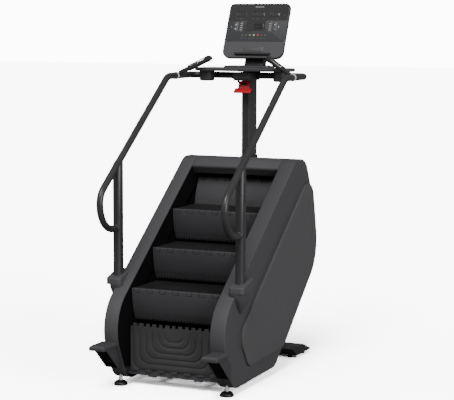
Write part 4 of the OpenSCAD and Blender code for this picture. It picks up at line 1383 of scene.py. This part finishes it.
        self._patch(faint, 0.078, 0.432, 0.008, 0.012, film - 0.0005, film + 0.0002, 0.002)
        self._patch(faint, 0.905, 0.640, 0.013, 0.0018, film - 0.0005, film + 0.0002, 0.0006)
        faint.finish_up()
        for name, finish, u in (("start_key", GREEN, 0.410), ("stop_key", RED, 0.540)):
            key = Piece(name, "frame", "console_glass", finish)
            self._patch(key, u, 0.582, 0.0115, 0.0115, film - 0.0005, lift + 0.0003, 0.0045)
            key.finish_up()
        light = Piece("power_light", "frame", "console_glass", TEAL)
        self._patch(light, 0.936, 0.224, 0.003, 0.003, glass - 0.0002, glass + 0.0004, 0.0014)
        light.finish_up()


# ---------------------------------------------------------------- feet


@dataclass
class Feet:
    """Levelling feet and the rear stabiliser."""

    x: float = 0.344
    y: float = -0.526
    slab_half: float = 0.345
    slab_front: float = 0.5672
    slab_back: float = 0.7998

    def build(self) -> None:
        """Builds both feet and the stabiliser."""
        for side in Side:
            self.foot(side)
        self.stabiliser()

    def foot(self, side: Side) -> None:
        """A moulded cone pad on a bright threaded stem.

        The stem's thread is a row of fine grooves: its radius is a cosine of the height, with one
        wave each pitch of 2 mm.

        Args:
            side: which side of the machine it is on.
        """
        place_at = (side.value * self.x, self.y, 0.0)
        body = f"foot_{side.word}"
        pad = [(0.0, 0.0), (0.039, 0.0), (0.0415, 0.0012), (0.042, 0.004), (0.0418, 0.007),
               (0.0408, 0.0110), (0.0385, 0.0155), (0.0345, 0.0200), (0.0290, 0.0245),
               (0.0225, 0.0280), (0.0160, 0.0302), (0.0, 0.0304)]
        piece = Piece(f"foot_pad_{side.word}", body, "levelling_foot", PAD,
                      (f"levelling_foot_{side.word}",), smooth=60)
        piece.grid(turned(pad, place_at)).finish_up()
        z = np.linspace(0.0504, 0.0955, 60)
        thread = [(0.0076 + 0.0004 * math.cos(h / 0.002 * 2 * math.pi), h) for h in z]
        stem = [(0.0, 0.029), (0.0118, 0.029), (0.0124, 0.0296), (0.0124, 0.0455), (0.0116, 0.0463),
                (0.0098, 0.0466), (0.0098, 0.0500), (0.0079, 0.0502), *thread, (0.0, 0.0955)]
        piece = Piece(f"foot_stem_{side.word}", body, "machined_steel", ZINC)
        piece.grid(turned(stem, place_at, 28)).finish_up()

    def stabiliser(self) -> None:
        """The rear slab: upright low walls, then sides that lean in to a flat top."""
        half, front, back = self.slab_half, self.slab_front, self.slab_back
        line = trace([(-half, front, 0.006), (-half, back, 0.006), (half, back, 0.006),
                      (half, front, 0.006)], 0.03)
        rings = []
        for inset, z in ((0.002, 0.0222), (0.0, 0.0240), (0.0, 0.0290), (0.001, 0.0305),
                         (0.0335, 0.0568), (0.0355, 0.0578)):
            x = line[:, 0] * (1 - inset / half)
            y = front + (line[:, 1] - front) * (1 - inset / (back - front))
            rings.append(np.column_stack([x, y, np.full(len(line), z)]))
        piece = Piece("rear_stabiliser_slab", "frame", "foot_black", BLACK, ("rear_stabiliser",))
        piece.grid(np.array(rings), cap_first=True, cap_last=True).finish_up()


# ---------------------------------------------------------------- what stays from CAD


CAD_FINISHES: dict[str, Finish] = {
    "base_frame": FRAME, "side_plate_left": FRAME, "side_plate_right": FRAME, "mast_bracket": FRAME,
    "stabiliser_feet": PAD, "levelling_nuts": STEEL, "upper_shaft": IRON, "lower_shaft": IRON,
    "upper_sprockets": IRON, "lower_sprockets": IRON, "shaft_bearings": IRON, "drive_pulley": IRON,
    "alternator": IRON, "alternator_pulley": STEEL, "drive_belt": PAD, "chain_left": CHAIN,
    # The well liners take the painted-shade black, which paints the shade in the well.
    "chain_right": CHAIN, "chain_guides": BLACK, "well_liner_left": SHADE_BLACK, "well_liner_right": SHADE_BLACK,
    "control_box": BLACK, "power_inlet": BLACK,
}


def dress_cad() -> None:
    """Gives each CAD node that is kept its finish."""
    for name, finish in CAD_FINISHES.items():
        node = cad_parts[name]
        node.data.materials.clear()
        node.data.materials.append(finish.material())
        log.info("%s: kept from CAD as %s", name, finish.name)


# ---------------------------------------------------------------- studio


@dataclass
class Studio:
    """The pale floor, the soft lights and the camera.

    floor_gain and sky_seen are how bright floor and surround are to the camera. To every other
    ray the floor reflects floor_true and the surround gives sky_light.
    """

    azimuth: float = 24.178
    pitch: float = 6.574
    roll: float = 0.129
    stand: Corner = (3.953, -8.568, 2.149)
    lens: float = 124.34
    floor_true: float = 0.2
    floor_gain: float = 9.0
    sky_light: float = 0.16
    sky_seen: float = 12.0
    lamps: tuple[tuple[str, Corner, float, float], ...] = (
        ("key", (0.3, -3.2, 5.6), 30, 2.3), ("fill", (5.2, -1.9, 2.6), 40, 1.9),
        ("left", (-4.0, -3.0, 3.4), 50, 0.35))

    def build(self) -> None:
        """Builds floor, lights and camera."""
        self.floor()
        self.lights()
        self.camera()

    def floor(self) -> None:
        """A wide plane at the feet, which the camera sees paler than the machine does."""
        mesh = bpy.data.meshes.new("studio_floor")
        r = 60.0
        mesh.from_pydata([(-r, -r, 0), (r, -r, 0), (r, r, 0), (-r, r, 0)], [], [(0, 1, 2, 3)])
        made = FLOOR.material()
        nodes, links = made.node_tree.nodes, made.node_tree.links
        ray = nodes.new("ShaderNodeLightPath").outputs["Is Camera Ray"]
        gain = nodes.new("ShaderNodeMapRange")
        gain.inputs["To Min"].default_value = self.floor_true
        gain.inputs["To Max"].default_value = self.floor_gain
        links.new(ray, gain.inputs["Value"])
        matt = nodes.new("ShaderNodeBsdfDiffuse")
        links.new(gain.outputs["Result"], matt.inputs["Color"])
        links.new(matt.outputs["BSDF"], nodes["Material Output"].inputs["Surface"])
        mesh.materials.append(made)
        floor = bpy.data.objects.new("studio_floor", mesh)
        bpy.context.scene.collection.objects.link(floor)

    def lights(self) -> None:
        """A surround that is white to the camera and dimmer as a light, and wide suns.

        A sun's direction is from its place to a point in the middle of the machine.
        """
        world = bpy.data.worlds.new("studio_sky")
        world.use_nodes = True
        nodes, links = world.node_tree.nodes, world.node_tree.links
        sky = nodes["Background"]
        sky.inputs["Color"].default_value = (1, 1, 1, 1)
        gain = nodes.new("ShaderNodeMapRange")
        gain.inputs["To Min"].default_value = self.sky_light
        gain.inputs["To Max"].default_value = self.sky_seen
        links.new(nodes.new("ShaderNodeLightPath").outputs["Is Camera Ray"], gain.inputs["Value"])
        links.new(gain.outputs["Result"], sky.inputs["Strength"])
        bpy.context.scene.world = world
        for name, at, spread, power in self.lamps:
            lamp = bpy.data.lights.new(name, "SUN")
            lamp.angle, lamp.energy = math.radians(spread), power
            made = bpy.data.objects.new(name, lamp)
            made.location = at
            aim = np.array([0, 0, 0.9]) - np.array(at)
            flat = math.hypot(aim[0], aim[1])
            made.rotation_euler = (math.atan2(flat, -aim[2]), 0, math.atan2(aim[1], aim[0]) - math.pi / 2)
            bpy.context.scene.collection.objects.link(made)

    def camera(self) -> None:
        """The camera, turned about its own view line by a hair of roll."""
        lens = bpy.data.cameras.new("camera")
        lens.lens, lens.sensor_width = self.lens, 36.0
        made = bpy.data.objects.new("camera", lens)
        made.location = self.stand
        turn, tilt, spin = (math.radians(v) for v in (self.azimuth, 90 - self.pitch, self.roll))
        whole = Matrix.Rotation(turn, 3, "Z") @ Matrix.Rotation(tilt, 3, "X") @ Matrix.Rotation(spin, 3, "Z")
        made.rotation_euler = whole.to_euler()
        bpy.context.scene.collection.objects.link(made)
        bpy.context.scene.camera = made


def main() -> None:
    """Builds the machine's looks and the studio."""
    logging.basicConfig(level=logging.INFO, format="%(message)s")
    dress_cad()
    for part in (Body(), Stairs(), Rails(), Upper(), Feet(), Studio()):
        part.build()


if __name__ == "__main__":
    main()
